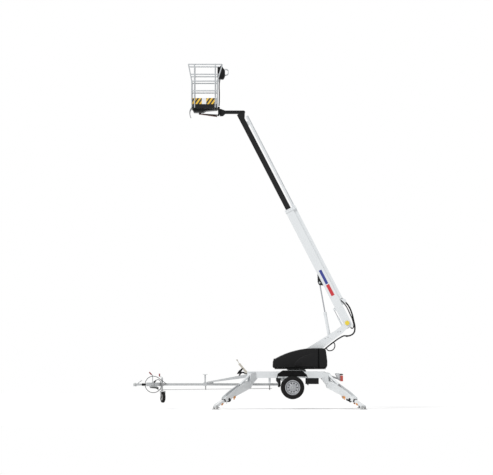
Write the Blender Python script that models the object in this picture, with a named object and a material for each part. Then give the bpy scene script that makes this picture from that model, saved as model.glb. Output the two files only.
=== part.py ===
"""Towable boom lift, parked on its four outriggers with the wheels off the ground.

Metres, +Z up, -X towards the tow coupling, -Y the machine's left side. The origin is on the
floor under the middle of the overall length. Each piece is one object, placed in world space.
"""

from math import atan2, cos, hypot, pi, radians, sin, tan

import bmesh
import bpy
from mathutils import Matrix, Vector

# Running fits
GAP = 0.0003  # between faces that touch
RUN = 0.006  # between pieces that move past each other
PIN_GAP = 0.0006  # between a ram's eye and the pin stubs beside it
SIDES = 12  # facets of a pin and of its hole

# Axle and wheels
AXLE_X = 1.198
AXLE_Z = 0.596
TYRE_RADIUS = 0.326
TYRE_HALF = 0.0975
RIM_RADIUS = 0.208
TRACK_HALF = 0.79
SPINDLE = 0.022
DRUM_OUT = TRACK_HALF - 0.125
GUARD_IN = TRACK_HALF - 0.110
GUARD_OUT = TRACK_HALF + 0.115
GUARD_WALL = 0.018
LAMP_FACE = 2.530
LAMP_IN = 0.540
LAMP_OUT = 0.780

# Chassis
FRAME_FRONT = -0.070
FRAME_REAR = 2.110
FRAME_LOW = 0.860
FRAME_TOP = 1.040
BEAM_IN = 0.290
BEAM_OUT = 0.370

# Outriggers: u runs out along a leg from its hinge pin, v up from it
LEG_PIN_Z = 0.720
LEG_PIN_Y = 0.550
LEG_FRONT_X = -0.010
LEG_REAR_X = 2.217
LEG_REACH = Vector((0.93, 1.30, 0))
FOOT_PIN_Z = 0.085
LEG_DROP = LEG_PIN_Z - FOOT_PIN_Z
LEG_SLOPE = atan2(LEG_DROP, LEG_REACH.length)
LEG_LENGTH = hypot(LEG_DROP, LEG_REACH.length)
LEG_INNER = 0.060
LEG_PLATE = 0.010
LEG_PIN = 0.020
BRACKET_IN = 0.036
BRACKET_OUT = 0.052
RAM_PIN = 0.016
RAM_FOOT = (-0.040, 0.240)
RAM_EYE = (0.900, 0.055)
RAM_EYE_HALF = 0.030
RAM_RADII = (0.033, 0.017)
RAM_BARREL = 0.560
FOOT_PIN = 0.016
PAD_RADIUS = 0.105
FOOT_EAR = (0.044, 0.054)

# Drawbar and running gear
DRAWBAR_Z = 0.680
DRAWBAR_HALF = 0.0325
DRAWBAR_FRONT = -2.490
DRAWBAR_REAR = 0.800
COUPLING_Z = 0.675
HOUSING_FRONT = -2.890
BALL_X = -3.2055
BALL_BORE = 0.0255
SHAFT_RADIUS = 0.022
BELLOWS_FRONT = -3.020
BELLOWS_REAR = -2.900
BELLOWS_BORE = SHAFT_RADIUS + 0.0005
LEVER_X = -2.713
LEVER_Y = -0.060
HOOK_Z = 0.8925
BRAKE_ROD = 0.0065
REST_X = -1.243
REST_TOP = 0.963
JOCKEY_X = -2.445
JOCKEY_Y = -0.120
JOCKEY_Z = 0.325
JOCKEY_RADIUS = 0.155
JOCKEY_TRAIL = 0.070
JOCKEY_TURN = radians(-72)
JOCKEY_TUBE = 0.024
CABLE_RADIUS = 0.0085

# Turret
SLEW_X = 1.300
SLEW_RADIUS = 0.240
SLEW_TOP = 1.085
DECK_TOP = 1.125
DECK_FRONT = 0.700
DECK_REAR = 2.130
DECK_HALF = 0.370
CHEEK_IN = 0.107
CHEEK_OUT = 0.127
COVER_IN = 0.140
COVER_OUT = 0.355

# Boom: a runs along it from its pivot, v towards its back
PIVOT = Vector((2.727, 0, 2.397))
BOOM_ANGLE = radians(117.3)
BOOM_LOW = -0.147
BOOM_TOP = 3.585
BOOM_FRONT = -0.108
BOOM_BACK = 0.117
BOOM_HALF = 0.100
BOOM_WALL = 0.008
INNER_LOW = 2.830
INNER_TOP = 6.470
INNER_HALF = 0.070
INNER_FRONT = -0.068
INNER_BACK = 0.080
INNER_RAIL_LOW = 3.320
INNER_RAIL_HALF = 0.045
RAIL_HALF = 0.060
RAIL_BACK = 0.212
RAIL_WALL = 0.004
RAIL_LOW = 0.690
BOOM_PIN = 0.030
LIFT_RADII = (0.044, 0.019)
LIFT_BARREL = 0.730
LIFT_FOOT = Vector((2.237, 0, 1.974))
LIFT_EYE = (1.355, -0.1665)
LIFT_EYE_HALF = 0.043
LIFT_PIN = 0.020
LIFT_LUG_IN = 0.056
LIFT_LUG_OUT = 0.070
LEVEL_RADII = (0.022, 0.010)
LEVEL_BARREL = 0.300
LEVEL_FOOT = Vector((2.614, 0.160, 2.284))
LEVEL_EYE = (0.500, -0.150)
LEVEL_EYE_HALF = 0.015
LEVEL_PIN = 0.010
TIP_ALONG = 6.573
TIP_BACK = 0.130
TIP_PIN = 0.020

# Platform
ARM_HALF = 0.040
ARM_DEPTH = 0.098
FLOOR_TOP = 8.500
FLOOR_LOW = 8.380
TRAY_FRONT = -1.630
TRAY_REAR = -0.885
TRAY_HALF = 0.650
TIE_FRONT = TRAY_FRONT + 0.230
RAIL_TUBE = 0.017
TOP_RAIL = 9.607
KNEE_RAILS = (8.870, 9.140)
FRONT_LEAN = 0.060
REAR_LEAN = 0.110
TOE_TOP = 8.666
TOE_WALL = 0.004

MATERIALS = {
    "white_paint": ((0.80, 0.82, 0.83), 0.35, 0.0),
    "galvanised": ((0.46, 0.48, 0.49), 0.45, 0.85),
    "chrome_rod": ((0.72, 0.73, 0.75), 0.15, 1.0),
    "black_plastic": ((0.022, 0.022, 0.024), 0.50, 0.0),
    "black_paint": ((0.030, 0.030, 0.032), 0.40, 0.0),
    "rubber": ((0.018, 0.018, 0.018), 0.80, 0.0),
    "rim_silver": ((0.60, 0.61, 0.62), 0.30, 0.9),
    "lamp_red": ((0.60, 0.05, 0.02), 0.20, 0.0),
    "grey_box": ((0.50, 0.47, 0.43), 0.50, 0.0),
}


def clear_scene():
    for thing in list(bpy.data.objects):
        bpy.data.objects.remove(thing, do_unlink=True)


def material(name):
    found = bpy.data.materials.get(name)
    if found:
        return found
    colour, roughness, metallic = MATERIALS[name]
    made = bpy.data.materials.new(name)
    made.use_nodes = True
    shader = made.node_tree.nodes["Principled BSDF"]
    shader.inputs["Base Color"].default_value = (*colour, 1.0)
    shader.inputs["Roughness"].default_value = roughness
    shader.inputs["Metallic"].default_value = metallic
    return made


def shape(bm, place=None):
    """A working object from a bmesh, moved by a matrix."""
    bm.normal_update()
    bmesh.ops.recalc_face_normals(bm, faces=bm.faces)
    if place is not None:
        bm.transform(place)
    mesh = bpy.data.meshes.new("shape")
    bm.to_mesh(mesh)
    bm.free()
    made = bpy.data.objects.new("shape", mesh)
    bpy.context.scene.collection.objects.link(made)
    return made


def box(low, high, place=None):
    low, high = Vector(low), Vector(high)
    bm = bmesh.new()
    bmesh.ops.create_cube(bm, size=1)
    bmesh.ops.scale(bm, vec=high - low, verts=bm.verts)
    bmesh.ops.translate(bm, vec=(low + high) / 2, verts=bm.verts)
    return shape(bm, place)


def prism(outline, y_low, y_high, place=None):
    """An outline of (x, z) points, extruded from y_low to y_high."""
    bm = bmesh.new()
    face = bm.faces.new([bm.verts.new((x, y_low, z)) for x, z in outline])
    out = bmesh.ops.extrude_face_region(bm, geom=[face])["geom"]
    moved = [v for v in out if isinstance(v, bmesh.types.BMVert)]
    bmesh.ops.translate(bm, vec=(0, y_high - y_low, 0), verts=moved)
    return shape(bm, place)


def bar(start, end, radius, sides=SIDES, end_radius=None, place=None):
    """A round bar between two points."""
    start, end = Vector(start), Vector(end)
    along = end - start
    bm = bmesh.new()
    bmesh.ops.create_cone(
        bm,
        cap_ends=True,
        segments=sides,
        radius1=radius,
        radius2=radius if end_radius is None else end_radius,
        depth=along.length,
    )
    turn = along.to_track_quat("Z", "Y").to_matrix().to_4x4()
    bm.transform(Matrix.Translation((start + end) / 2) @ turn)
    return shape(bm, place)


def turned(profile, sides, place=None):
    """A closed profile of (y, radius) points, turned about the Y axis."""
    bm = bmesh.new()
    rings = []
    for k in range(sides):
        a = 2 * pi * k / sides
        rings.append([bm.verts.new((r * cos(a), y, r * sin(a))) for y, r in profile])
    for k in range(sides):
        near, far = rings[k], rings[(k + 1) % sides]
        for i in range(len(profile)):
            j = (i + 1) % len(profile)
            bm.faces.new((near[i], near[j], far[j], far[i]))
    bmesh.ops.remove_doubles(bm, verts=bm.verts, dist=1e-6)
    bmesh.ops.dissolve_degenerate(bm, edges=bm.edges, dist=1e-6)
    return shape(bm, place)


def smooth_path(points, spacing):
    """Points read at even steps from a smooth curve through the given ones."""
    knots = [Vector(p) for p in points]
    ends = [2 * knots[0] - knots[1]] + knots + [2 * knots[-1] - knots[-2]]
    fine = []
    for a, b, c, d in zip(ends, ends[1:], ends[2:], ends[3:]):
        for k in range(24):
            t = k / 24
            fine.append(
                0.5 * (2 * b + (c - a) * t + (2 * a - 5 * b + 4 * c - d) * t * t
                       + (3 * b - a - 3 * c + d) * t ** 3)
            )
    fine.append(knots[-1])
    total = sum((q - p).length for p, q in zip(fine, fine[1:]))
    count = max(2, round(total / spacing))
    out, walked, i = [fine[0]], 0.0, 0
    for k in range(1, count):
        goal = total * k / count
        while walked + (fine[i + 1] - fine[i]).length < goal:
            walked += (fine[i + 1] - fine[i]).length
            i += 1
        step = fine[i + 1] - fine[i]
        out.append(fine[i] + step * ((goal - walked) / step.length))
    return out + [fine[-1]]


def tube(points, radius, sides=8, place=None):
    """A round tube swept along points, with flat ends."""
    points = [Vector(p) for p in points]
    bm = bmesh.new()
    rings = []
    side = None
    for i, p in enumerate(points):
        before = (p - points[i - 1]).normalized() if i else None
        after = (points[i + 1] - p).normalized() if i + 1 < len(points) else None
        along = ((before or after) + (after or before)).normalized()
        reach = 1 / max(0.5, (before or after).dot(along))
        if side is None:
            side = along.orthogonal().normalized()
        side = (side - along * side.dot(along)).normalized()
        up = along.cross(side)
        bend = (after - before) if before and after else None
        ring = []
        for k in range(sides):
            a = 2 * pi * (k + 0.5) / sides
            off = side * (radius * cos(a)) + up * (radius * sin(a))
            if bend is not None and bend.length > 1e-4:
                turn = (bend - along * bend.dot(along)).normalized()
                off += turn * (off.dot(turn) * (reach - 1))
            ring.append(bm.verts.new(p + off))
        rings.append(ring)
    for near, far in zip(rings, rings[1:]):
        for k in range(sides):
            j = (k + 1) % sides
            bm.faces.new((near[k], near[j], far[j], far[k]))
    bm.faces.new(rings[0])
    bm.faces.new(rings[-1][::-1])
    return shape(bm, place)


def cord(name, points, radius):
    """A free cord as a bevelled curve with filled ends."""
    curve = bpy.data.curves.new(name, "CURVE")
    curve.dimensions = "3D"
    curve.bevel_depth = radius
    curve.bevel_resolution = 2
    curve.use_fill_caps = True
    spline = curve.splines.new("POLY")
    spline.points.add(len(points) - 1)
    for knot, point in zip(spline.points, points):
        knot.co = (*point, 1)
    curve.materials.append(material("rubber"))
    made = bpy.data.objects.new(name, curve)
    bpy.context.scene.collection.objects.link(made)
    return made


def rounded(points, radius, steps=3):
    """A polygon's corners as arcs. radius is one value, or one for each corner."""
    out = []
    for i, (x, z) in enumerate(points):
        r = radius[i] if isinstance(radius, (list, tuple)) else radius
        here = Vector((x, z))
        back = Vector(points[i - 1]) - here
        fore = Vector(points[(i + 1) % len(points)]) - here
        half = back.angle(fore) / 2
        cut = min(r / tan(half), 0.45 * back.length, 0.45 * fore.length) if r else 0
        if cut < 1e-5:
            out.append((x, z))
            continue
        r = cut * tan(half)
        middle = here + (back.normalized() + fore.normalized()).normalized() * (r / sin(half))
        start = here + back.normalized() * cut - middle
        end = here + fore.normalized() * cut - middle
        sweep = start.angle_signed(end)
        for k in range(steps + 1):
            a = -sweep * k / steps
            spun = Vector((start.x * cos(a) - start.y * sin(a), start.x * sin(a) + start.y * cos(a)))
            out.append(tuple(middle + spun))
    return out


def joined(shapes, operation, base):
    group = bpy.data.collections.new("group")
    for s in shapes:
        bpy.context.scene.collection.objects.unlink(s)
        group.objects.link(s)
    change = base.modifiers.new("join", "BOOLEAN")
    change.operation = operation
    change.operand_type = "COLLECTION"
    change.collection = group
    change.solver = "EXACT"
    bpy.context.view_layer.update()
    seen = base.evaluated_get(bpy.context.evaluated_depsgraph_get())
    mesh = bpy.data.meshes.new_from_object(seen)
    base.modifiers.clear()
    base.data = mesh
    for s in list(group.objects):
        bpy.data.objects.remove(s, do_unlink=True)
    bpy.data.collections.remove(group)


def piece(name, shapes, finish, cuts=(), round_off=True):
    """One named solid: shapes united, then cut, with its material."""
    base = shapes[0]
    if len(shapes) > 1:
        joined(shapes[1:], "UNION", base)
    if cuts:
        joined(list(cuts), "DIFFERENCE", base)
    base.name = name
    base.data.name = name
    base.data.materials.clear()
    base.data.materials.append(material(finish))
    if round_off:
        base.data.shade_smooth()
        base.data.set_sharp_from_angle(angle=radians(35))
    return base


def hole(pin_radius, sides=SIDES):
    """The radius of a faceted hole in which a faceted pin turns."""
    return pin_radius / cos(pi / sides) + GAP


def leaning(origin, angle, turn=0.0):
    """A frame whose X points up at an angle, in a vertical plane turned about Z."""
    return (
        Matrix.Translation(origin)
        @ Matrix.Rotation(turn, 4, "Z")
        @ Matrix.Rotation(-angle, 4, "Y")
    )


def ram(names, foot, head, radii, barrel, eye, pin, turn=0.0):
    """A hydraulic ram from its foot pin to its head eye, as a barrel and a rod.

    radii: barrel outside, rod. eye: (eye radius, half its width). The rod runs in the barrel's
    bore. Its eye carries the middle of the head pin, which the lugs' stubs meet on each side.
    """
    outside, rod = radii
    foot, head = Vector(foot), Vector(head)
    flat = Matrix.Rotation(-turn, 3, "Z") @ (head - foot)
    place = leaning(foot, atan2(flat.z, flat.x), turn)
    length = (head - foot).length
    eye_radius, half = eye
    bored = rod + 0.0004
    tail = eye_radius * 0.8
    body = [
        bar((tail, 0, 0), (barrel, 0, 0), outside, 12, place=place),
        bar((barrel - 0.06, 0, 0), (barrel + 0.012, 0, 0), outside * 1.12, 12, place=place),
        bar((0, -half, 0), (0, half, 0), eye_radius, place=place),
    ]
    cuts = [
        bar((0, -half - 0.01, 0), (0, half + 0.01, 0), hole(pin), place=place),
        bar((eye_radius + 0.03, 0, 0), (barrel + 0.05, 0, 0), bored, 12, place=place),
    ]
    piece(names[0], body, "white_paint", cuts)
    stem = [
        bar((length, -half, 0), (length, half, 0), eye_radius, place=place),
        bar((length - barrel * 0.92, 0, 0), (length - eye_radius * 0.8, 0, 0), rod, 12, place=place),
    ]
    piece(names[1], stem, "chrome_rod")


BOOM = leaning(PIVOT, BOOM_ANGLE)


def boom_point(along, back, y=0.0):
    return BOOM @ Vector((along, y, -back))


def boom_box(low, high):
    """A box in the boom's frame, from (along, y, back) to (along, y, back)."""
    return box((low[0], low[1], -high[2]), (high[0], high[1], -low[2]), BOOM)


def boom_plate(outline, y_low, y_high):
    return prism([(a, -v) for a, v in outline], y_low, y_high, BOOM)


def cross_bar(x, z, y_low, y_high, radius, place=None, sides=SIDES):
    """A round bar along Y."""
    return bar((x, y_low, z), (x, y_high, z), radius, sides, place=place)


def mirrored(y_low, y_high):
    return (y_low, y_high), (-y_high, -y_low)


def leg_frame(end, side):
    """The frame of one outrigger's hinge, level and facing out along it."""
    x = LEG_FRONT_X if end < 0 else LEG_REAR_X
    origin = Vector((x, side * LEG_PIN_Y, LEG_PIN_Z))
    return origin, atan2(side * LEG_REACH.y, end * LEG_REACH.x)


LEGS = (
    ("front_left", -1, -1),
    ("front_right", -1, 1),
    ("rear_left", 1, -1),
    ("rear_right", 1, 1),
)


def make_leg_bracket(end, side):
    origin, turn = leg_frame(end, side)
    level = leaning(origin, 0, turn)
    ram_x, ram_z = RAM_FOOT
    side_view = [(-0.340, 0.145), (-0.340, 0.310), (ram_x - 0.01, ram_z + 0.045),
                 (ram_x + 0.04, ram_z + 0.01), (0.045, 0.0), (0.030, -0.045),
                 (-0.060, -0.060)]
    shapes = []
    for low, high in mirrored(BRACKET_IN, BRACKET_OUT):
        shapes.append(prism(rounded(side_view, 0.03), low, high, level))
    head = LEG_INNER + LEG_PLATE
    shapes.append(cross_bar(0, 0, -head - 0.014, head + 0.014, LEG_PIN, level))
    for low, high in mirrored(head + 0.002, head + 0.014):
        shapes.append(cross_bar(0, 0, low, high, 0.030, level))
    shapes.append(cross_bar(ram_x, ram_z, -BRACKET_OUT, BRACKET_OUT, RAM_PIN, level))
    return shapes


def make_chassis():
    shapes = []
    for low, high in mirrored(BEAM_IN, BEAM_OUT):
        shapes.append(box((FRAME_FRONT, low, FRAME_LOW), (FRAME_REAR, high, FRAME_TOP)))
    for x_low, x_high in ((FRAME_FRONT, 0.100), (0.980, 1.620), (1.980, FRAME_REAR)):
        shapes.append(box((x_low, -BEAM_OUT + 0.01, FRAME_LOW + 0.01),
                          (x_high, BEAM_OUT - 0.01, FRAME_TOP - 0.003)))
    shapes.append(bar((SLEW_X, 0, FRAME_TOP - 0.02), (SLEW_X, 0, SLEW_TOP), SLEW_RADIUS, 32))
    for x in (0.060, 0.560):
        shapes.append(box((x - 0.03, -0.300, DRAWBAR_Z + DRAWBAR_HALF + GAP),
                          (x + 0.03, 0.300, FRAME_LOW + 0.03)))
    for _, end, side in LEGS:
        shapes += make_leg_bracket(end, side)
    piece("chassis_frame", shapes, "white_paint")


def make_leg(name, end, side):
    origin, turn = leg_frame(end, side)
    place = leaning(origin, -LEG_SLOPE, turn)
    plate = [(-0.055, -0.040), (0.050, -0.125), (0.850, -0.066), (1.300, -0.045),
             (1.300, 0.085), (0.900, 0.122), (0.260, 0.132), (0.060, 0.075), (-0.045, 0.050)]
    shapes = []
    for low, high in mirrored(LEG_INNER, LEG_INNER + LEG_PLATE):
        shapes.append(prism(rounded(plate, 0.03), low, high, place))
    wide = LEG_INNER + 0.004
    web = [(0.420, -0.0982), (0.850, -0.064), (1.290, -0.044), (1.290, -0.036),
           (0.850, -0.054), (0.420, -0.086)]
    shapes.append(prism(web, -wide, wide, place))
    shapes.append(box((1.080, -wide, -0.042), (1.285, wide, 0.045), place))
    shapes.append(box((1.180, -0.038, -0.038), (LEG_LENGTH + 0.03, 0.038, 0.038), place))
    eye_x, eye_z = RAM_EYE
    for low, high in mirrored(RAM_EYE_HALF + PIN_GAP, wide):
        shapes.append(cross_bar(eye_x, eye_z, low, high, RAM_PIN, place))
    cuts = [
        cross_bar(0, 0, -0.1, 0.1, hole(LEG_PIN), place),
        cross_bar(LEG_LENGTH, 0, -0.1, 0.1, hole(FOOT_PIN), place),
    ]
    piece("leg_" + name, shapes, "white_paint", cuts)


def make_leg_ram(name, end, side):
    origin, turn = leg_frame(end, side)
    level = leaning(origin, 0, turn)
    leg = leaning(origin, -LEG_SLOPE, turn)
    foot = level @ Vector((RAM_FOOT[0], 0, RAM_FOOT[1]))
    head = leg @ Vector((RAM_EYE[0], 0, RAM_EYE[1]))
    names = ("leg_barrel_" + name, "leg_rod_" + name)
    ram(names, foot, head, RAM_RADII, RAM_BARREL, (0.030, RAM_EYE_HALF), RAM_PIN, turn)


def make_foot(name, end, side):
    origin, turn = leg_frame(end, side)
    centre = leaning(origin, -LEG_SLOPE, turn) @ Vector((LEG_LENGTH, 0, 0))
    level = leaning(centre, 0, turn)
    shapes = [
        bar((0, 0, -FOOT_PIN_Z), (0, 0, -FOOT_PIN_Z + 0.014), PAD_RADIUS, 24, place=level),
        cross_bar(0, 0, -0.060, 0.060, FOOT_PIN, level),
    ]
    low_edge = -FOOT_PIN_Z + 0.012
    ear = [(-0.045, low_edge), (0.045, low_edge), (0.026, 0.022), (-0.026, 0.022)]
    for low, high in mirrored(*FOOT_EAR):
        shapes.append(prism(rounded(ear, (0, 0, 0.02, 0.02)), low, high, level))
    piece("foot_" + name, shapes, "galvanised")


def make_drawbar():
    low, high = DRAWBAR_Z - DRAWBAR_HALF, DRAWBAR_Z + DRAWBAR_HALF
    shapes = [
        box((DRAWBAR_FRONT, -DRAWBAR_HALF, low), (DRAWBAR_REAR, DRAWBAR_HALF, high)),
        box((REST_X - 0.019, -0.019, high - 0.01), (REST_X + 0.019, 0.019, REST_TOP - 0.005)),
        box((REST_X - 0.065, -0.150, REST_TOP - 0.012), (REST_X + 0.065, 0.150, REST_TOP)),
        box((REST_X - 0.045, -0.040, low - 0.008), (REST_X + 0.045, 0.040, high + 0.025)),
    ]
    piece("drawbar", shapes, "galvanised")


def make_braces():
    """The V from the drawbar back to the two corners of the frame."""
    top = DRAWBAR_Z + DRAWBAR_HALF + GAP
    shapes = [box((-1.195, -0.060, top), (-1.010, 0.060, top + 0.040))]
    for side in (-1, 1):
        bm = bmesh.new()
        ring = []
        for x, y, z_low, z_high in ((-1.180, 0.030, top + 0.012, top + 0.044),
                                    (FRAME_FRONT - GAP, 0.320, 0.868, 0.963)):
            for y_off, z in ((-0.022, z_low), (0.022, z_low), (0.022, z_high), (-0.022, z_high)):
                ring.append(bm.verts.new((x, side * (y + y_off), z)))
        bm.faces.new(ring[:4])
        bm.faces.new(ring[4:])
        for i in range(4):
            j = (i + 1) % 4
            bm.faces.new((ring[i], ring[j], ring[j + 4], ring[i + 4]))
        shapes.append(shape(bm))
    piece("drawbar_braces", shapes, "galvanised")


def make_coupling():
    front = DRAWBAR_FRONT - GAP
    shapes = [
        box((HOUSING_FRONT, -0.045, COUPLING_Z - 0.045), (front, 0.045, COUPLING_Z + 0.055)),
        box((-2.800, -0.030, 0.600), (-2.580, 0.030, 0.640)),
        bar((-3.060, 0, COUPLING_Z), (HOUSING_FRONT + 0.010, 0, COUPLING_Z), SHAFT_RADIUS, 12),
        box((-3.170, -0.032, 0.645), (-3.050, 0.032, 0.705)),
        bar((BALL_X, 0, 0.628), (BALL_X, 0, 0.700), 0.046, 16),
        bar((BALL_X, 0, 0.695), (BALL_X, 0, 0.722), 0.045, 12, 0.024),
        tube([(-3.130, 0, 0.700), (-3.090, 0, 0.740), (-3.010, 0, 0.795)], 0.011, 6),
    ]
    lever = [(LEVER_X, LEVER_Y, 0.690), (LEVER_X, LEVER_Y, 0.925), (LEVER_X - 0.087, LEVER_Y, 1.015)]
    shapes.append(tube(lever, 0.013, 8))
    shapes.append(box((LEVER_X - 0.032, LEVER_Y - 0.015, 0.650), (LEVER_X + 0.033, -0.040, 0.715)))
    shapes.append(bar((LEVER_X, LEVER_Y + 0.005, HOOK_Z), (LEVER_X, -0.235, HOOK_Z), 0.006, 8))
    socket = [bar((BALL_X, 0, 0.600), (BALL_X, 0, 0.690), BALL_BORE, 16)]
    piece("overrun_coupling", shapes, "galvanised", socket)
    rings = []
    for k in range(6):
        x = BELLOWS_FRONT + 0.010 + k * 0.020
        rings.append((x, 0.040 if k % 2 == 0 else 0.030))
    profile = rings + [(BELLOWS_REAR, BELLOWS_BORE), (BELLOWS_FRONT, BELLOWS_BORE)]
    turn = Matrix.Translation((0, 0, COUPLING_Z)) @ Matrix.Rotation(-pi / 2, 4, "Z")
    piece("coupling_bellows", [turned(profile, 16, turn)], "rubber")


def make_running_gear():
    """The axle with its arms and spindles, and the brake rod."""
    shapes = [cross_bar(AXLE_X, AXLE_Z, -DRUM_OUT, DRUM_OUT, 0.035)]
    shapes.append(cross_bar(AXLE_X, AXLE_Z, -TRACK_HALF - 0.045, TRACK_HALF + 0.045, SPINDLE))
    for low, high in mirrored(0.300, 0.360):
        arm = [(0.800, FRAME_LOW - GAP), (1.050, FRAME_LOW - GAP), (1.250, 0.610),
               (1.210, 0.550), (1.130, 0.560)]
        shapes.append(prism(arm, low, high))
    for low, high in mirrored(TRACK_HALF + 0.0305, TRACK_HALF + 0.055):
        shapes.append(cross_bar(AXLE_X, AXLE_Z, low, high, 0.040))
    for low, high in mirrored(DRUM_OUT - 0.025, DRUM_OUT):
        shapes.append(cross_bar(AXLE_X, AXLE_Z, low, high, 0.100, sides=24))
    piece("axle", shapes, "galvanised")
    rod = [bar((-2.560, 0, 0.530), (0.630, 0, 0.567), BRAKE_ROD, 8)]
    rod.append(box((-2.575, -0.012, 0.515), (-2.555, 0.012, 0.5995 - GAP)))
    for x, drop in ((-1.230, 0.008), (0.560, 0.0)):
        top = DRAWBAR_Z - DRAWBAR_HALF - drop - GAP
        rod.append(box((x - 0.015, -0.012, 0.525), (x + 0.015, 0.012, top)))
    piece("brake_rod", rod, "galvanised")


def make_wheel(name, side):
    place = Matrix.Translation((AXLE_X, side * TRACK_HALF, AXLE_Z))
    if side > 0:
        place = place @ Matrix.Rotation(pi, 4, "Z")
    bead = RIM_RADIUS + GAP
    tyre = [(-0.080, bead), (-TYRE_HALF, 0.262), (-0.086, 0.312), (-0.060, TYRE_RADIUS),
            (0.060, TYRE_RADIUS), (0.086, 0.312), (TYRE_HALF, 0.262), (0.080, bead)]
    piece("tyre_" + name, [turned(tyre, 32, place)], "rubber")
    bore = hole(SPINDLE)
    rim = [(-0.084, RIM_RADIUS), (0.084, RIM_RADIUS), (0.084, 0.192), (-0.010, 0.180),
           (-0.010, 0.080), (0.020, 0.060), (0.020, bore), (-0.030, bore), (-0.030, 0.070),
           (-0.022, 0.090), (-0.022, 0.160), (-0.060, 0.186), (-0.084, 0.192)]
    body = [turned(rim, 32, place)]
    cuts = []
    for k in range(10):
        a = 2 * pi * k / 10
        x, z = 0.125 * cos(a), 0.125 * sin(a)
        cuts.append(cross_bar(x, z, -0.040, 0.010, 0.020, place, 8))
    piece("rim_" + name, body, "rim_silver", cuts)


def make_mudguard(name, side):
    front, rear = AXLE_X - 0.458, AXLE_X + 0.442
    top = AXLE_Z + TYRE_RADIUS + 0.148
    outer = [(front, top - 0.290), (front + 0.040, top - 0.085), (front + 0.190, top),
             (rear - 0.180, top), (rear - 0.040, top - 0.120), (rear, top - 0.410)]
    inner = [(rear - 0.022, top - 0.410), (rear - 0.060, top - 0.130), (rear - 0.188, top - GUARD_WALL),
             (front + 0.196, top - GUARD_WALL), (front + 0.058, top - 0.098), (front + 0.022, top - 0.290)]
    radii = (0, 0.060, 0.070, 0.080, 0.080, 0, 0, 0.060, 0.060, 0.050, 0.040, 0)
    low, high = sorted((side * GUARD_IN, side * GUARD_OUT))
    edge = (low, low + 0.010) if side > 0 else (high - 0.010, high)
    shapes = [prism(rounded(outer + inner, radii, 2), low, high)]
    cheek = [(front + 0.020, top - 0.170), (front + 0.050, top - 0.095), (front + 0.194, top - 0.012),
             (rear - 0.185, top - 0.012), (rear - 0.050, top - 0.128), (rear - 0.040, top - 0.170)]
    shapes.append(prism(rounded(cheek, (0, 0.050, 0.066, 0.076, 0.060, 0), 2), *edge))
    for x in (AXLE_X - 0.298, AXLE_X + 0.282):
        low, high = sorted((side * (BEAM_OUT + GAP), side * (GUARD_IN + 0.006)))
        shapes.append(box((x - 0.02, low, top - 0.140), (x + 0.02, high, top - 0.100)))
    piece("mudguard_" + name, shapes, "black_plastic")


def make_rear_lights():
    back = LAMP_FACE - 0.010
    arm = [(FRAME_REAR + GAP, 0.930), (back, 0.800), (back, 0.850), (FRAME_REAR + GAP, 0.985)]
    half = (LAMP_IN + LAMP_OUT) / 2 + 0.060
    bar_shapes = [box((LAMP_FACE - 0.030, -half, 0.795), (LAMP_FACE - GAP, half, 0.860))]
    for low, high in mirrored(0.180, 0.220):
        bar_shapes.append(prism(arm, low, high))
    piece("lamp_bar", bar_shapes, "galvanised")
    for name, side in (("left", -1), ("right", 1)):
        low, high = sorted((side * LAMP_IN, side * LAMP_OUT))
        lamp = box((LAMP_FACE, low, 0.770), (LAMP_FACE + 0.070, high, 0.930))
        piece("tail_lamp_" + name, [lamp], "lamp_red")


def make_chassis_fittings():
    lean = leaning((-0.100, 0, 1.030), radians(130))
    console = [
        box((-0.130, -0.250, 0.990), (FRAME_FRONT - GAP, -0.190, 1.060)),
        box((0.0, -0.245, -0.030), (0.300, -0.195, 0.030), lean),
        tube([(-0.285, -0.220, 1.255), (-0.360, -0.220, 1.375)], 0.009, 8),
        tube([(-0.335, -0.220, 1.335), (-0.362, -0.220, 1.378)], 0.018, 10),
    ]
    piece("lever_console", console, "grey_box")
    arc = [(-0.300, 0.870), (-0.275, 0.960), (-0.200, 1.020), (-0.120, 0.985), (FRAME_FRONT - 0.0008, 0.985)]
    points = smooth_path([(x, -0.120, z) for x, z in arc], 0.06)
    piece("chassis_hoses", [tube(points, 0.021, 8)], "rubber")
    tray = [box((1.565, -0.360, 0.690), (1.930, 0.360, FRAME_LOW - GAP))]
    piece("under_tray", tray, "black_plastic")


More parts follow.
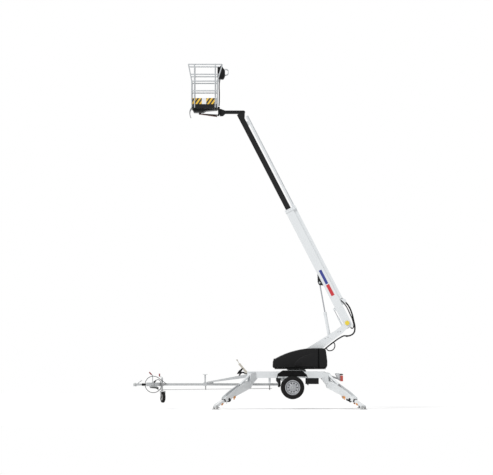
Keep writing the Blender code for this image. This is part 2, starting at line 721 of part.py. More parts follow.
def make_jockey():
    x, y = JOCKEY_X, JOCKEY_Y
    low, high = DRAWBAR_Z - DRAWBAR_HALF - 0.0075, DRAWBAR_Z + DRAWBAR_HALF + 0.0075
    clamp = [
        box((x - 0.050, y - 0.040, low), (x + 0.050, y + 0.040, high)),
        box((x - 0.030, y + 0.030, low + 0.010), (x + 0.030, -DRAWBAR_HALF - GAP, high - 0.010)),
        bar((x - 0.110, y, DRAWBAR_Z), (x - 0.045, y, DRAWBAR_Z), 0.008, 8),
    ]
    bore = [bar((x, y, 0.6), (x, y, 0.8), hole(JOCKEY_TUBE, 24), 24)]
    piece("jockey_clamp", clamp, "galvanised", bore)
    column = [
        bar((x, y, 0.520), (x, y, 0.855), JOCKEY_TUBE, 24),
        bar((x, y, 0.850), (x, y, 0.885), 0.012, 12),
        tube([(x, y, 0.880), (x - 0.080, y, 0.905)], 0.009, 8),
        tube([(x - 0.074, y, 0.900), (x - 0.074, y, 0.975)], 0.015, 10),
    ]
    piece("jockey_column", column, "galvanised")
    place = Matrix.Translation((x, y, 0)) @ Matrix.Rotation(JOCKEY_TURN, 4, "Z")
    top = 0.520 - GAP
    fork = [
        bar((0, 0, 0.496), (0, 0, top), 0.030, place=place),
        box((-0.030, -0.066, 0.488), (0.110, 0.066, 0.500), place),
    ]
    blade = [(0.000, 0.490), (0.105, 0.490), (JOCKEY_TRAIL + 0.022, 0.310), (JOCKEY_TRAIL - 0.022, 0.310)]
    for low, high in mirrored(0.058, 0.066):
        fork.append(prism(blade, low, high, place))
    fork.append(cross_bar(JOCKEY_TRAIL, JOCKEY_Z, -0.072, 0.072, 0.010, place))
    piece("jockey_fork", fork, "galvanised")
    bore = hole(0.010)
    roll = [(-0.046, bore), (-0.046, 0.030), (-0.030, 0.036), (-0.030, 0.120), (-0.040, 0.132),
            (-0.026, JOCKEY_RADIUS), (0.026, JOCKEY_RADIUS), (0.040, 0.132), (0.030, 0.120),
            (0.030, 0.036), (0.046, 0.030), (0.046, bore)]
    wheel = place @ Matrix.Translation((JOCKEY_TRAIL, 0, JOCKEY_Z))
    piece("jockey_wheel", [turned(roll, 28, wheel)], "rubber")


def make_light_cable():
    """The tow lamp cable, coiled once and hung over the hook on the brake lever's base."""
    path = [(-2.330, -DRAWBAR_HALF - GAP, 0.700), (-2.330, -0.056, 0.700), (-2.330, -0.078, 0.701),
            (-2.342, -0.125, 0.722), (-2.410, -0.168, 0.780)]
    for k in range(21):
        a = radians(30 + 19 * k)
        path.append((-2.690 + 0.230 * cos(a), -0.178 - 0.0022 * k, 0.680 + 0.230 * sin(a)))
    last = Vector(path[-1])
    path.append(tuple(last + Vector((-0.070, -0.005, -0.060))))
    points = smooth_path(path, 0.024)
    cord("light_cable", points, CABLE_RADIUS)
    end = points[-1]
    along = (points[-1] - points[-2]).normalized()
    plug = [
        bar(end + along * GAP, end + along * 0.050, 0.014, 12, 0.021),
        bar(end + along * 0.046, end + along * 0.090, 0.024, 12),
    ]
    piece("cable_plug", plug, "black_plastic")


def make_turret():
    deck = [
        bar((SLEW_X, 0, SLEW_TOP + GAP), (SLEW_X, 0, DECK_TOP - 0.01), SLEW_RADIUS + 0.02, 32),
        box((DECK_FRONT, -DECK_HALF, DECK_TOP - 0.020), (DECK_REAR, DECK_HALF, DECK_TOP)),
    ]
    piece("turntable", deck, "black_paint")
    side_view = [(1.050, DECK_TOP + GAP), (1.800, DECK_TOP + GAP), (1.980, 1.640), (2.640, 2.150),
                 (2.800, 2.330), (2.812, 2.440), (2.720, 2.486), (2.630, 2.420), (2.590, 2.330),
                 (2.405, 2.192), (1.758, 1.786), (1.480, 1.620), (1.050, 1.350)]
    slot = [(1.900, 1.880), (2.200, 1.880), (2.600, 2.165), (2.850, 2.000), (3.000, 2.000),
            (3.000, 2.700), (1.900, 2.700)]
    radii = (0, 0, 0.08, 0.02, 0.06, 0.06, 0.06, 0.05, 0.03, 0.05, 0.05, 0.05, 0.03)
    shapes = [prism(rounded(side_view, radii), -CHEEK_OUT, CHEEK_OUT)]
    cuts = [prism(slot, -CHEEK_IN, CHEEK_IN)]
    column = piece("turret_column", shapes, "white_paint", cuts)
    pins = [
        column,
        cross_bar(PIVOT.x, PIVOT.z, -CHEEK_OUT - 0.012, CHEEK_OUT + 0.012, BOOM_PIN),
        cross_bar(LIFT_FOOT.x, LIFT_FOOT.z, -CHEEK_OUT - 0.006, CHEEK_OUT + 0.006, LIFT_PIN),
        cross_bar(LEVEL_FOOT.x, LEVEL_FOOT.z, 0.120, 0.180, LEVEL_PIN),
    ]
    for low, high in mirrored(CHEEK_OUT - 0.001, CHEEK_OUT + 0.008):
        pins.append(cross_bar(PIVOT.x, PIVOT.z, low, high, 0.062, sides=20))
    piece("turret_column", pins, "white_paint")
    cover = [(0.640, 1.190), (0.655, 1.330), (0.711, 1.400), (0.930, 1.512), (1.271, 1.624),
             (1.580, 1.685), (2.110, 1.692), (2.175, 1.300), (2.150, DECK_TOP + GAP),
             (0.700, DECK_TOP + GAP)]
    radii = (0.03, 0.05, 0.04, 0.05, 0.08, 0.1, 0.03, 0.02, 0, 0)
    for name, (low, high) in zip(("left", "right"), mirrored(-COVER_OUT, -COVER_IN)):
        piece("cover_" + name, [prism(rounded(cover, radii, 2), low, high)], "black_plastic")


def make_boom():
    shapes = [
        boom_box((BOOM_LOW, -BOOM_HALF, BOOM_FRONT), (BOOM_TOP, BOOM_HALF, BOOM_BACK)),
        boom_box((3.500, -0.109, BOOM_FRONT - 0.009), (BOOM_TOP + 0.002, 0.109, RAIL_BACK + 0.009)),
        boom_box((RAIL_LOW, -RAIL_HALF, BOOM_BACK - 0.01), (BOOM_TOP, RAIL_HALF, RAIL_BACK)),
    ]
    eye_a, eye_v = LIFT_EYE
    lug = [(eye_a + 0.26, BOOM_FRONT + 0.005), (eye_a - 0.12, BOOM_FRONT + 0.005),
           (eye_a - 0.045, eye_v - 0.045), (eye_a + 0.045, eye_v - 0.045)]
    for low, high in mirrored(LIFT_LUG_IN, LIFT_LUG_OUT):
        shapes.append(boom_plate(rounded(lug, (0, 0, 0.03, 0.03)), low, high))
    for side in (-1, 1):
        stub = [boom_point(eye_a, eye_v, side * y) for y in (LIFT_EYE_HALF + PIN_GAP, LIFT_LUG_OUT + 0.004)]
        shapes.append(bar(*stub, LIFT_PIN))
    lev_a, lev_v = LEVEL_EYE
    arm = [(lev_a + 0.06, BOOM_FRONT + 0.005), (lev_a - 0.06, BOOM_FRONT + 0.005),
           (lev_a - 0.022, lev_v - 0.020), (lev_a + 0.022, lev_v - 0.020)]
    shapes.append(boom_plate(arm, 0.070, 0.084))
    stub = [boom_point(lev_a, lev_v, y) for y in (0.074, LEVEL_FOOT.y - LEVEL_EYE_HALF - PIN_GAP)]
    shapes.append(bar(*stub, LEVEL_PIN))
    wall = BOOM_WALL
    cuts = [
        boom_box((0.140, -BOOM_HALF + wall, BOOM_FRONT + wall),
                 (BOOM_TOP + 0.1, BOOM_HALF - wall, BOOM_BACK - wall)),
        boom_box((RAIL_LOW - 0.1, -RAIL_HALF + RAIL_WALL, BOOM_BACK),
                 (BOOM_TOP + 0.1, RAIL_HALF - RAIL_WALL, RAIL_BACK - RAIL_WALL)),
        bar(boom_point(0, 0, -0.2), boom_point(0, 0, 0.2), hole(BOOM_PIN)),
    ]
    piece("main_boom", shapes, "white_paint", cuts)
    head = boom_point(eye_a, eye_v)
    ram(("lift_barrel", "lift_rod"), LIFT_FOOT, head, LIFT_RADII, LIFT_BARREL,
        (0.040, LIFT_EYE_HALF), LIFT_PIN)
    head = boom_point(lev_a, lev_v, LEVEL_FOOT.y)
    ram(("level_barrel", "level_rod"), LEVEL_FOOT, head, LEVEL_RADII, LEVEL_BARREL,
        (0.020, LEVEL_EYE_HALF), LEVEL_PIN)


def make_inner_boom():
    front, back = INNER_FRONT, INNER_BACK
    shapes = [boom_box((INNER_LOW, -INNER_HALF, front), (INNER_TOP, INNER_HALF, back))]
    tip = [(INNER_TOP - 0.080, -0.060), (INNER_TOP - 0.080, 0.072), (TIP_ALONG, TIP_BACK + 0.045),
           (TIP_ALONG + 0.045, TIP_BACK), (TIP_ALONG, TIP_BACK - 0.045)]
    for low, high in mirrored(ARM_HALF + RUN, 0.062):
        shapes.append(boom_plate(rounded(tip, (0, 0, 0.02, 0.03, 0.02)), low, high))
    start = boom_point(TIP_ALONG, TIP_BACK, -0.070)
    shapes.append(bar(start, boom_point(TIP_ALONG, TIP_BACK, 0.070), TIP_PIN))
    slack_front = front - BOOM_FRONT - BOOM_WALL - 0.001
    shapes.append(boom_box((INNER_LOW + 0.02, -0.088, front - slack_front),
                           (INNER_LOW + 0.14, 0.088, BOOM_BACK - BOOM_WALL - 0.001)))
    piece("inner_boom", shapes, "black_paint")
    half = INNER_RAIL_HALF
    rail = [
        boom_box((INNER_RAIL_LOW, -half, BOOM_BACK + 0.010),
                 (INNER_TOP - 0.030, half, RAIL_BACK - RAIL_WALL - 0.006)),
        boom_box((INNER_TOP - 0.290, -half, INNER_BACK + GAP),
                 (INNER_TOP - 0.170, half, BOOM_BACK + 0.02)),
    ]
    piece("cable_rail", rail, "white_paint")


def make_elbow_hoses():
    seat = RAIL_BACK - RAIL_WALL - 0.0230
    start = [boom_point(RAIL_LOW + along, seat) for along in (0.050, 0.020, -0.010, -0.045)]
    loop = [(2.700, 2.960), (2.790, 2.840), (2.850, 2.700), (2.910, 2.464),
            (2.945, 2.260), (2.915, 2.120), (2.820, 2.050), (2.720, 2.030)]
    points = smooth_path(start + [(x, 0.0, z) for x, z in loop], 0.10)
    piece("elbow_hoses", [tube(points, 0.024, 8)], "rubber")


def make_platform():
    tip = boom_point(TIP_ALONG, TIP_BACK)
    half = ARM_DEPTH / 2
    arm = [
        box((TRAY_REAR + GAP, -ARM_HALF, tip.z - half), (tip.x, ARM_HALF, tip.z + half)),
        cross_bar(tip.x, tip.z, -ARM_HALF, ARM_HALF, half, sides=20),
        box((TRAY_REAR + GAP, -0.150, tip.z - 0.075), (TRAY_REAR + 0.050, 0.150, tip.z + 0.150)),
        bar((TIE_FRONT, 0, FLOOR_LOW - 0.134), (TRAY_REAR + 0.025, 0, FLOOR_LOW - 0.165), 0.018, 10),
        box((TIE_FRONT - 0.020, -0.030, FLOOR_LOW - 0.150), (TIE_FRONT + 0.040, 0.030, FLOOR_LOW - GAP)),
        box((TRAY_REAR, -0.060, FLOOR_LOW - 0.190), (TRAY_REAR + 0.035, 0.060, FLOOR_LOW - 0.120)),
    ]
    bore = [cross_bar(tip.x, tip.z, -0.1, 0.1, hole(TIP_PIN))]
    piece("platform_arm", arm, "black_paint", bore)
    ledge = FLOOR_TOP - 0.003
    inset = TOE_WALL + 0.008
    floor = [
        box((TRAY_FRONT, -TRAY_HALF, FLOOR_LOW), (TRAY_REAR, TRAY_HALF, ledge)),
        box((TRAY_FRONT + inset, -TRAY_HALF + inset, FLOOR_LOW + 0.010),
            (TRAY_REAR - inset, TRAY_HALF - inset, FLOOR_TOP)),
    ]
    piece("platform_floor", floor, "black_paint")
    make_platform_frame()
    x_low, x_high = TRAY_FRONT + 0.002, TRAY_REAR - 0.002
    low, high = ledge + GAP, TOE_TOP
    edge = TRAY_HALF - 0.002
    wall = TOE_WALL
    toe = [box((x_low, -edge, low), (x_high, edge, high))]
    gone = [box((x_low + wall, -edge + wall, low - 0.1), (x_high - wall, edge - wall, high + 0.1))]
    piece("toe_boards", toe, "white_paint", gone)
    front, base, top = TRAY_REAR - 0.015, TOP_RAIL - 0.395, TOP_RAIL - 0.047
    control = [box((front, -0.230, base), (front + 0.200, 0.230, top)),
               box((front - 0.005, -0.060, base - 0.0547), (front + 0.020, 0.060, base + 0.018))]
    for y in (-0.1, 0.1):
        control.append(bar((front + 0.050, y, top - 0.010), (front + 0.050, y, top + 0.050), 0.012, 8))
    piece("control_box", control, "black_plastic")


def make_platform_frame():
    flat = RAIL_TUBE * cos(pi / 8) + GAP
    x0, x1 = TRAY_FRONT - flat, TRAY_REAR + flat
    edge = TRAY_HALF + flat
    tubes = []
    for side in (-1, 1):
        y = side * edge
        posts = ((x0 + 0.03, x0 - FRONT_LEAN), (x0 + 0.110, x0 + 0.110),
                 (x1 - 0.090, x1 - 0.090), (x1 - 0.03, x1 + REAR_LEAN))
        for foot_x, top_x in posts:
            points = [(foot_x, y, FLOOR_LOW + 0.02), (foot_x, y, 9.150), (top_x, y, TOP_RAIL)]
            tubes.append(tube(points, RAIL_TUBE, 8))
        low_rail, mid_rail = KNEE_RAILS
        for z, over in ((low_rail, 0.0), (mid_rail, 0.0), (9.330, 0.02), (TOP_RAIL, 0.08)):
            tubes.append(bar((x0 - over + 0.02, y, z), (x1 + over - 0.02, y, z), RAIL_TUBE, 8))
    for x, over in ((x0 + 0.03, FRONT_LEAN + 0.03), (x1 - 0.03, REAR_LEAN)):
        sign = -1 if x < -1.3 else 1
        for z, shift in ((low_rail, 0), (mid_rail, 0), (TOP_RAIL, over)):
            px = x + sign * shift
            tubes.append(bar((px, -edge, z), (px, edge, z), RAIL_TUBE, 8))
    piece("platform_frame", tubes, "galvanised")


def main():
    clear_scene()
    make_chassis()
    for name, end, side in LEGS:
        make_leg(name, end, side)
        make_leg_ram(name, end, side)
        make_foot(name, end, side)
    make_drawbar()
    make_braces()
    make_coupling()
    make_running_gear()
    for name, side in (("left", -1), ("right", 1)):
        make_wheel(name, side)
        make_mudguard(name, side)
    make_rear_lights()
    make_chassis_fittings()
    make_jockey()
    make_light_cable()
    make_turret()
    make_boom()
    make_inner_boom()
    make_elbow_hoses()
    make_platform()


main()
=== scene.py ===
# %% [markdown]
# A boom lift on a road trailer, parked on four outriggers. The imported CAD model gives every
# moving solid in its true place, so this file only dresses it: it gives each solid a finish
# and adds the hoses, grips, reflectors and seams that are too fine for the solid model.
# Everything is in metres, with +Z up and the tow coupling towards -X.

# %% Load the frame
from math import atan2, cos, hypot, pi, radians, sin

import bpy
from mathutils import Matrix, Vector


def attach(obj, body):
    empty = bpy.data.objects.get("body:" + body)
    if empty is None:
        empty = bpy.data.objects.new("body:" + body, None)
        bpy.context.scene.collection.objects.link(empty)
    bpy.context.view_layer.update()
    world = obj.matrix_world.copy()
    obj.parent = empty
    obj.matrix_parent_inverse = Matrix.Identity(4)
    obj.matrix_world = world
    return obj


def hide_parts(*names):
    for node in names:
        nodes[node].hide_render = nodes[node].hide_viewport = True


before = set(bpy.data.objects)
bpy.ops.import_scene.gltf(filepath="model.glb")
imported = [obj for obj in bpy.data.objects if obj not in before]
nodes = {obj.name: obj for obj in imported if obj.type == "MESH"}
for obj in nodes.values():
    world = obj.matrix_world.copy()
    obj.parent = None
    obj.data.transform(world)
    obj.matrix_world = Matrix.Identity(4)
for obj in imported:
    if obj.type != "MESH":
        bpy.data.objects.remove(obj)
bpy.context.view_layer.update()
SIDES = (("left", -1), ("right", 1))


# %% [markdown]
# Blender's operators act on whatever is selected, and the loaded solids arrive selected.
# These helpers keep the selection to one object. Each finished piece has its place applied
# to its mesh, so its object stays at the origin and its patterns don't slide.

# %% Select, join and settle a piece
SMOOTH_ANGLE = radians(35)


def only(obj):
    bpy.ops.object.select_all(action="DESELECT")
    bpy.context.view_layer.objects.active = obj
    obj.select_set(True)
    return obj


def settle(obj, name, finish, body, replaced=()):
    """Apply the piece's place, name it, paint it and hang it on its body."""
    only(obj)
    bpy.ops.object.convert(target="MESH")
    bpy.ops.object.transform_apply(location=True, rotation=True, scale=True)
    obj.name = name
    obj.data.name = name
    obj.data.materials.clear()
    obj.data.materials.append(finish)
    bpy.ops.object.shade_smooth_by_angle(angle=SMOOTH_ANGLE)
    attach(obj, body)
    for node_name in replaced:
        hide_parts(node_name)
    return obj


def merge(parts):
    """Join loose parts into the first one."""
    bpy.ops.object.select_all(action="DESELECT")
    for part in parts:
        part.select_set(True)
    bpy.context.view_layer.objects.active = parts[0]
    bpy.ops.object.join()
    return parts[0]


def span(side, near, far):
    """Two distances from the middle plane as Y values on one side, the lower first."""
    return sorted((side * near, side * far))


print("helpers ready, edges smoothed below", round(SMOOTH_ANGLE, 3))


# %% [markdown]
# Most fittings on such a machine are cut plate, square section or round bar. A cube is
# stretched between two corners, a cone with equal ends makes a bar, and a filled circle whose
# points are moved to an outline is extruded into a plate. Real edges are never sharp, so each
# helper ends with a small bevel that catches the light.

# %% Boxes, bars and plates
def solid_box(low, high, bevel=0.004, place=None):
    """A box between two corners with rounded edges."""
    low = Vector(low)
    high = Vector(high)
    bpy.ops.object.select_all(action="DESELECT")
    bpy.ops.mesh.primitive_cube_add(size=1, location=(low + high) / 2)
    made = bpy.context.object
    made.scale = high - low
    bpy.ops.object.transform_apply(location=True, rotation=True, scale=True)
    if bevel:
        bpy.ops.object.mode_set(mode="EDIT")
        bpy.ops.mesh.select_all(action="SELECT")
        bpy.ops.mesh.bevel(offset=bevel, segments=2, profile=0.5)
        bpy.ops.object.mode_set(mode="OBJECT")
    if place is not None:
        made.data.transform(place)
    return made


def rod(start, end, radius, sides=20, bevel=0.0015, end_radius=None):
    """A round bar between two points, with broken edges."""
    start = Vector(start)
    end = Vector(end)
    along = end - start
    bpy.ops.object.select_all(action="DESELECT")
    bpy.ops.mesh.primitive_cone_add(
        vertices=sides,
        radius1=radius,
        radius2=radius if end_radius is None else end_radius,
        depth=along.length,
    )
    made = bpy.context.object
    if bevel:
        bpy.ops.object.mode_set(mode="EDIT")
        bpy.ops.mesh.select_all(action="DESELECT")
        bpy.ops.mesh.select_face_by_sides(number=sides, type="EQUAL")
        bpy.ops.mesh.region_to_loop()
        bpy.ops.mesh.bevel(offset=bevel, segments=2)
        bpy.ops.object.mode_set(mode="OBJECT")
    turn = along.to_track_quat("Z", "Y").to_matrix().to_4x4()
    made.data.transform(Matrix.Translation((start + end) / 2) @ turn)
    return made


def plate(outline, y_low, y_high, bevel=0.003, place=None):
    """An outline of (x, z) points pushed from y_low to y_high."""
    bpy.ops.object.select_all(action="DESELECT")
    bpy.ops.mesh.primitive_circle_add(vertices=len(outline), radius=1, fill_type="NGON")
    made = bpy.context.object
    for vertex, (x, z) in zip(made.data.vertices, outline):
        vertex.co = (x, y_low, z)
    bpy.ops.object.mode_set(mode="EDIT")
    bpy.ops.mesh.select_all(action="SELECT")
    bpy.ops.mesh.extrude_region_move(TRANSFORM_OT_translate={"value": (0, y_high - y_low, 0)})
    bpy.ops.mesh.select_all(action="SELECT")
    bpy.ops.mesh.normals_make_consistent(inside=False)
    if bevel:
        bpy.ops.mesh.bevel(offset=bevel, segments=2)
    bpy.ops.object.mode_set(mode="OBJECT")
    if place is not None:
        made.data.transform(place)
    return made


def plate_pair(outline, near, far, bevel, place=None):
    """The same plate on both sides of the middle plane, between two distances from it."""
    return [plate(outline, *span(side, near, far), bevel, place) for _, side in SIDES]


print("shapes ready: box, bar, plate and pair of plates")


# %% [markdown]
# A hose is a curve with a round bevel, because its bends come from a few points and its
# thickness stays even. A wheel part is a closed profile spun about the axle, which gives it
# the same section all the way round.

# %% Hoses and turned rings
CURVE_STEPS = 8
MERGE_DISTANCE = 0.00005


def pipe(points, radius, closed=False):
    """A round hose or bent tube along points."""
    bpy.ops.object.select_all(action="DESELECT")
    bpy.ops.curve.primitive_bezier_curve_add()
    made = bpy.context.object
    curve = made.data
    curve.splines.clear()
    spline = curve.splines.new("BEZIER")
    spline.use_cyclic_u = closed
    spline.bezier_points.add(len(points) - 1)
    for knot, point in zip(spline.bezier_points, points):
        knot.co = point
        knot.handle_left_type = "AUTO"
        knot.handle_right_type = "AUTO"
    curve.resolution_u = CURVE_STEPS
    curve.bevel_depth = radius
    curve.bevel_resolution = 3
    curve.use_fill_caps = True
    made.matrix_world = Matrix.Identity(4)
    only(made)
    bpy.ops.object.convert(target="MESH")
    return bpy.context.object


def lathe(profile, steps):
    """A profile of (radius, along) points turned about the Y axis into a closed ring."""
    bpy.ops.object.select_all(action="DESELECT")
    bpy.ops.mesh.primitive_circle_add(vertices=len(profile), radius=1, fill_type="NOTHING")
    made = bpy.context.object
    for vertex, (radius, along) in zip(made.data.vertices, profile):
        vertex.co = (radius, along, 0)
    bpy.ops.object.mode_set(mode="EDIT")
    bpy.ops.mesh.select_all(action="SELECT")
    bpy.ops.mesh.spin(steps=steps, angle=2 * pi, center=(0, 0, 0), axis=(0, 1, 0))
    bpy.ops.mesh.select_all(action="SELECT")
    bpy.ops.mesh.remove_doubles(threshold=MERGE_DISTANCE)
    bpy.ops.mesh.normals_make_consistent(inside=False)
    bpy.ops.object.mode_set(mode="OBJECT")
    return made


print("curves have", CURVE_STEPS, "steps between points")


# %% [markdown]
# A shader is a tree of small nodes. These short functions add one node each and link it, so
# that a finish below reads like a sentence. A value may be a number, a colour or a socket.

# %% Helpers for shader trees
COLOR = "NodeSocketColor"
FLOAT = "NodeSocketFloat"


def new_group(name, inputs, outputs):
    group = bpy.data.node_groups.new(name, "ShaderNodeTree")
    for label, kind, value in inputs:
        socket = group.interface.new_socket(name=label, in_out="INPUT", socket_type=kind)
        socket.default_value = value
    for label, kind in outputs:
        group.interface.new_socket(name=label, in_out="OUTPUT", socket_type=kind)
    return group, group.nodes.new("NodeGroupInput"), group.nodes.new("NodeGroupOutput")


def node(tree, kind, **settings):
    made = tree.nodes.new(kind)
    for key, value in settings.items():
        setattr(made, key, value)
    return made


def math(tree, operation, first, second):
    made = node(tree, "ShaderNodeMath", operation=operation)
    for socket, value in zip(made.inputs, (first, second)):
        if isinstance(value, (int, float)):
            socket.default_value = value
        else:
            tree.links.new(value, socket)
    return made.outputs[0]


def mix(tree, factor, first, second):
    made = node(tree, "ShaderNodeMix", data_type="RGBA")
    for socket, value in ((made.inputs[0], factor), (made.inputs[6], first), (made.inputs[7], second)):
        if isinstance(value, (int, float)):
            socket.default_value = value
        elif isinstance(value, tuple):
            socket.default_value = (*value, 1)
        else:
            tree.links.new(value, socket)
    return made.outputs[2]


def object_place(tree):
    return node(tree, "ShaderNodeTexCoord").outputs["Object"]


def noise(tree, scale, detail=3.0, distortion=0.0):
    made = node(tree, "ShaderNodeTexNoise")
    made.inputs["Detail"].default_value = detail
    made.inputs["Distortion"].default_value = distortion
    if isinstance(scale, (int, float)):
        made.inputs["Scale"].default_value = scale
    else:
        tree.links.new(scale, made.inputs["Scale"])
    tree.links.new(object_place(tree), made.inputs["Vector"])
    return made.outputs[0]


def split_place(tree):
    """The X, Y and Z of the point being shaded, as three outputs."""
    made = node(tree, "ShaderNodeSeparateXYZ")
    tree.links.new(object_place(tree), made.inputs[0])
    return made.outputs


print("shader helpers ready")


# %% [markdown]
# Three effects are shared by many finishes, so each is a node group made once. Road dust lies
# thicker near the ground, because the wheels throw it up. Soft blotches keep a large painted
# plate from looking like one flat colour.

# %% Weather group
DUST_NONE_Z = 1.3
DUST_FULL_Z = 0.2
DUST_COLOUR = (0.30, 0.26, 0.21, 1)
BLOTCH_COLOUR = (0.12, 0.12, 0.12)
SPECK_SCALE = 9.0
SPECK_GAIN = 1.6
BLOTCH_SCALE = 2.2
SMEAR_SCALE = 14.0
SMEAR_ROUGHNESS = 0.12
DUST_ROUGHNESS = 0.35
SKIN_OUTPUTS = (("Color", COLOR), ("Roughness", FLOAT))


def make_weather_group():
    """Blotches and road dust over a base colour, with a rougher skin where dust lies."""
    inputs = (
        ("Base", COLOR, (0.8, 0.8, 0.8, 1)),
        ("Dust", COLOR, DUST_COLOUR),
        ("Amount", FLOAT, 0.3),
        ("Blotch", FLOAT, 0.05),
        ("Gloss", FLOAT, 0.3),
    )
    group, source, sink = new_group("weather", inputs, SKIN_OUTPUTS)
    low = node(group, "ShaderNodeMapRange")
    low.inputs["From Min"].default_value = DUST_NONE_Z
    low.inputs["From Max"].default_value = DUST_FULL_Z
    group.links.new(split_place(group)[2], low.inputs["Value"])
    speck = math(group, "MULTIPLY", noise(group, SPECK_SCALE, 8.0), SPECK_GAIN)
    mask = math(group, "MULTIPLY", low.outputs[0], speck)
    mask = math(group, "MULTIPLY", mask, source.outputs["Amount"])
    shade = math(group, "MULTIPLY", noise(group, BLOTCH_SCALE, 4.0), source.outputs["Blotch"])
    toned = mix(group, shade, source.outputs["Base"], BLOTCH_COLOUR)
    group.links.new(mix(group, mask, toned, source.outputs["Dust"]), sink.inputs["Color"])
    smear = math(group, "MULTIPLY", noise(group, SMEAR_SCALE, 5.0), SMEAR_ROUGHNESS)
    rough = math(group, "ADD", source.outputs["Gloss"], smear)
    rough = math(group, "ADD", rough, math(group, "MULTIPLY", mask, DUST_ROUGHNESS))
    group.links.new(rough, sink.inputs["Roughness"])
    return group


WEATHER = make_weather_group()
print("shader group:", WEATHER.name)


# %% [markdown]
# Hot-dip zinc cools into flat crystals, each with its own grey and its own gloss. Voronoi
# cells have that outline, and their random colour gives each cell its tone. Moulded plastic
# and paint have a fine grain instead, which is only a height, so each finish sets its depth.

# %% Spangle and grain groups
CRYSTAL_GLOSS = 0.34
CRYSTAL_GLOSS_RANGE = 0.22
GRAIN_DISTORTION = 0.6


def make_spangle_group():
    """Zinc crystals: each cell has its own grey and its own gloss."""
    inputs = (
        ("Light", COLOR, (0.56, 0.58, 0.59, 1)),
        ("Dark", COLOR, (0.36, 0.38, 0.40, 1)),
        ("Scale", FLOAT, 90.0),
    )
    group, source, sink = new_group("spangle", inputs, SKIN_OUTPUTS)
    cells = node(group, "ShaderNodeTexVoronoi")
    group.links.new(object_place(group), cells.inputs["Vector"])
    group.links.new(source.outputs["Scale"], cells.inputs["Scale"])
    grey = node(group, "ShaderNodeSeparateXYZ")
    group.links.new(cells.outputs["Color"], grey.inputs[0])
    tone = mix(group, grey.outputs[0], source.outputs["Light"], source.outputs["Dark"])
    group.links.new(tone, sink.inputs["Color"])
    rough = math(group, "MULTIPLY", grey.outputs[1], CRYSTAL_GLOSS_RANGE)
    group.links.new(math(group, "ADD", rough, CRYSTAL_GLOSS), sink.inputs["Roughness"])
    return group


def make_grain_group():
    """Leathery moulding grain or fine paint texture, as a height."""
    inputs = (("Scale", FLOAT, 300.0), ("Depth", FLOAT, 1.0))
    group, source, sink = new_group("grain", inputs, (("Height", FLOAT),))
    height = noise(group, source.outputs["Scale"], 2.0, GRAIN_DISTORTION)
    height = math(group, "MULTIPLY", height, source.outputs["Depth"])
    group.links.new(height, sink.inputs["Height"])
    return group


SPANGLE = make_spangle_group()
GRAIN = make_grain_group()
print("shader groups:", SPANGLE.name, GRAIN.name)


# %% [markdown]
# A finish is one material. Paint, moulded plastic and rubber differ in colour, gloss, coat and
# grain, so one loop makes them all from a table of named columns.

# %% Painted and moulded finishes
BUMP_DISTANCE = 0.002
FINISHES = (
    # name, slot, base colour, gloss, metallic, coat, dust, blotch, grain scale, bump, specular
    ("white_enamel", "white_paint", (0.76, 0.785, 0.80), 0.24, 0.0, 0.4, 0.12, 0.07, 220.0, 0.03, 0.5),
    ("moulded_black", "black_plastic", (0.007, 0.007, 0.0075), 0.38, 0.0, 0.0, 0.015, 0.0, 520.0, 0.3, 0.16),
    ("satin_black", "black_paint", (0.009, 0.0095, 0.010), 0.34, 0.0, 0.0, 0.015, 0.0, 260.0, 0.05, 0.20),
    ("tyre_rubber", "rubber", (0.006, 0.006, 0.0062), 0.58, 0.0, 0.0, 0.015, 0.0, 400.0, 0.20, 0.12),
    ("hose_rubber", "rubber", (0.007, 0.007, 0.0075), 0.42, 0.0, 0.0, 0.015, 0.0, 500.0, 0.10, 0.15),
    ("rim_lacquer", "rim_silver", (0.44, 0.45, 0.47), 0.24, 0.7, 0.2, 0.05, 0.05, 300.0, 0.03, 0.5),
    ("console_beige", "grey_box", (0.52, 0.49, 0.43), 0.35, 0.0, 0.1, 0.1, 0.08, 250.0, 0.05, 0.5),
    ("red_grip", "black_plastic", (0.24, 0.020, 0.022), 0.38, 0.0, 0.0, 0.05, 0.0, 300.0, 0.10, 0.4),
    ("rust_brown", "black_paint", (0.17, 0.075, 0.060), 0.40, 0.0, 0.0, 0.0, 0.3, 200.0, 0.10, 0.4),
    ("yellow_disc", "white_paint", (0.80, 0.62, 0.04), 0.30, 0.0, 0.2, 0.0, 0.05, 300.0, 0.03, 0.5),
    ("blue_bar", "white_paint", (0.020, 0.035, 0.25), 0.30, 0.0, 0.2, 0.0, 0.03, 300.0, 0.02, 0.5),
    ("red_bar", "white_paint", (0.56, 0.020, 0.030), 0.30, 0.0, 0.2, 0.0, 0.03, 300.0, 0.02, 0.5),
)


def new_finish(name, slot):
    made = bpy.data.materials.new(name)
    made.use_nodes = True
    made["slot"] = slot
    return made, made.node_tree, made.node_tree.nodes["Principled BSDF"]


def use_group(tree, group, **values):
    made = node(tree, "ShaderNodeGroup", node_tree=group)
    for key, value in values.items():
        made.inputs[key].default_value = (*value, 1) if isinstance(value, tuple) else value
    return made


def link_skin(tree, skin, shader):
    tree.links.new(skin.outputs["Color"], shader.inputs["Base Color"])
    tree.links.new(skin.outputs["Roughness"], shader.inputs["Roughness"])


def add_bump(tree, shader, height, strength):
    bump = node(tree, "ShaderNodeBump")
    bump.inputs["Strength"].default_value = strength
    bump.inputs["Distance"].default_value = BUMP_DISTANCE
    tree.links.new(height, bump.inputs["Height"])
    tree.links.new(bump.outputs[0], shader.inputs["Normal"])


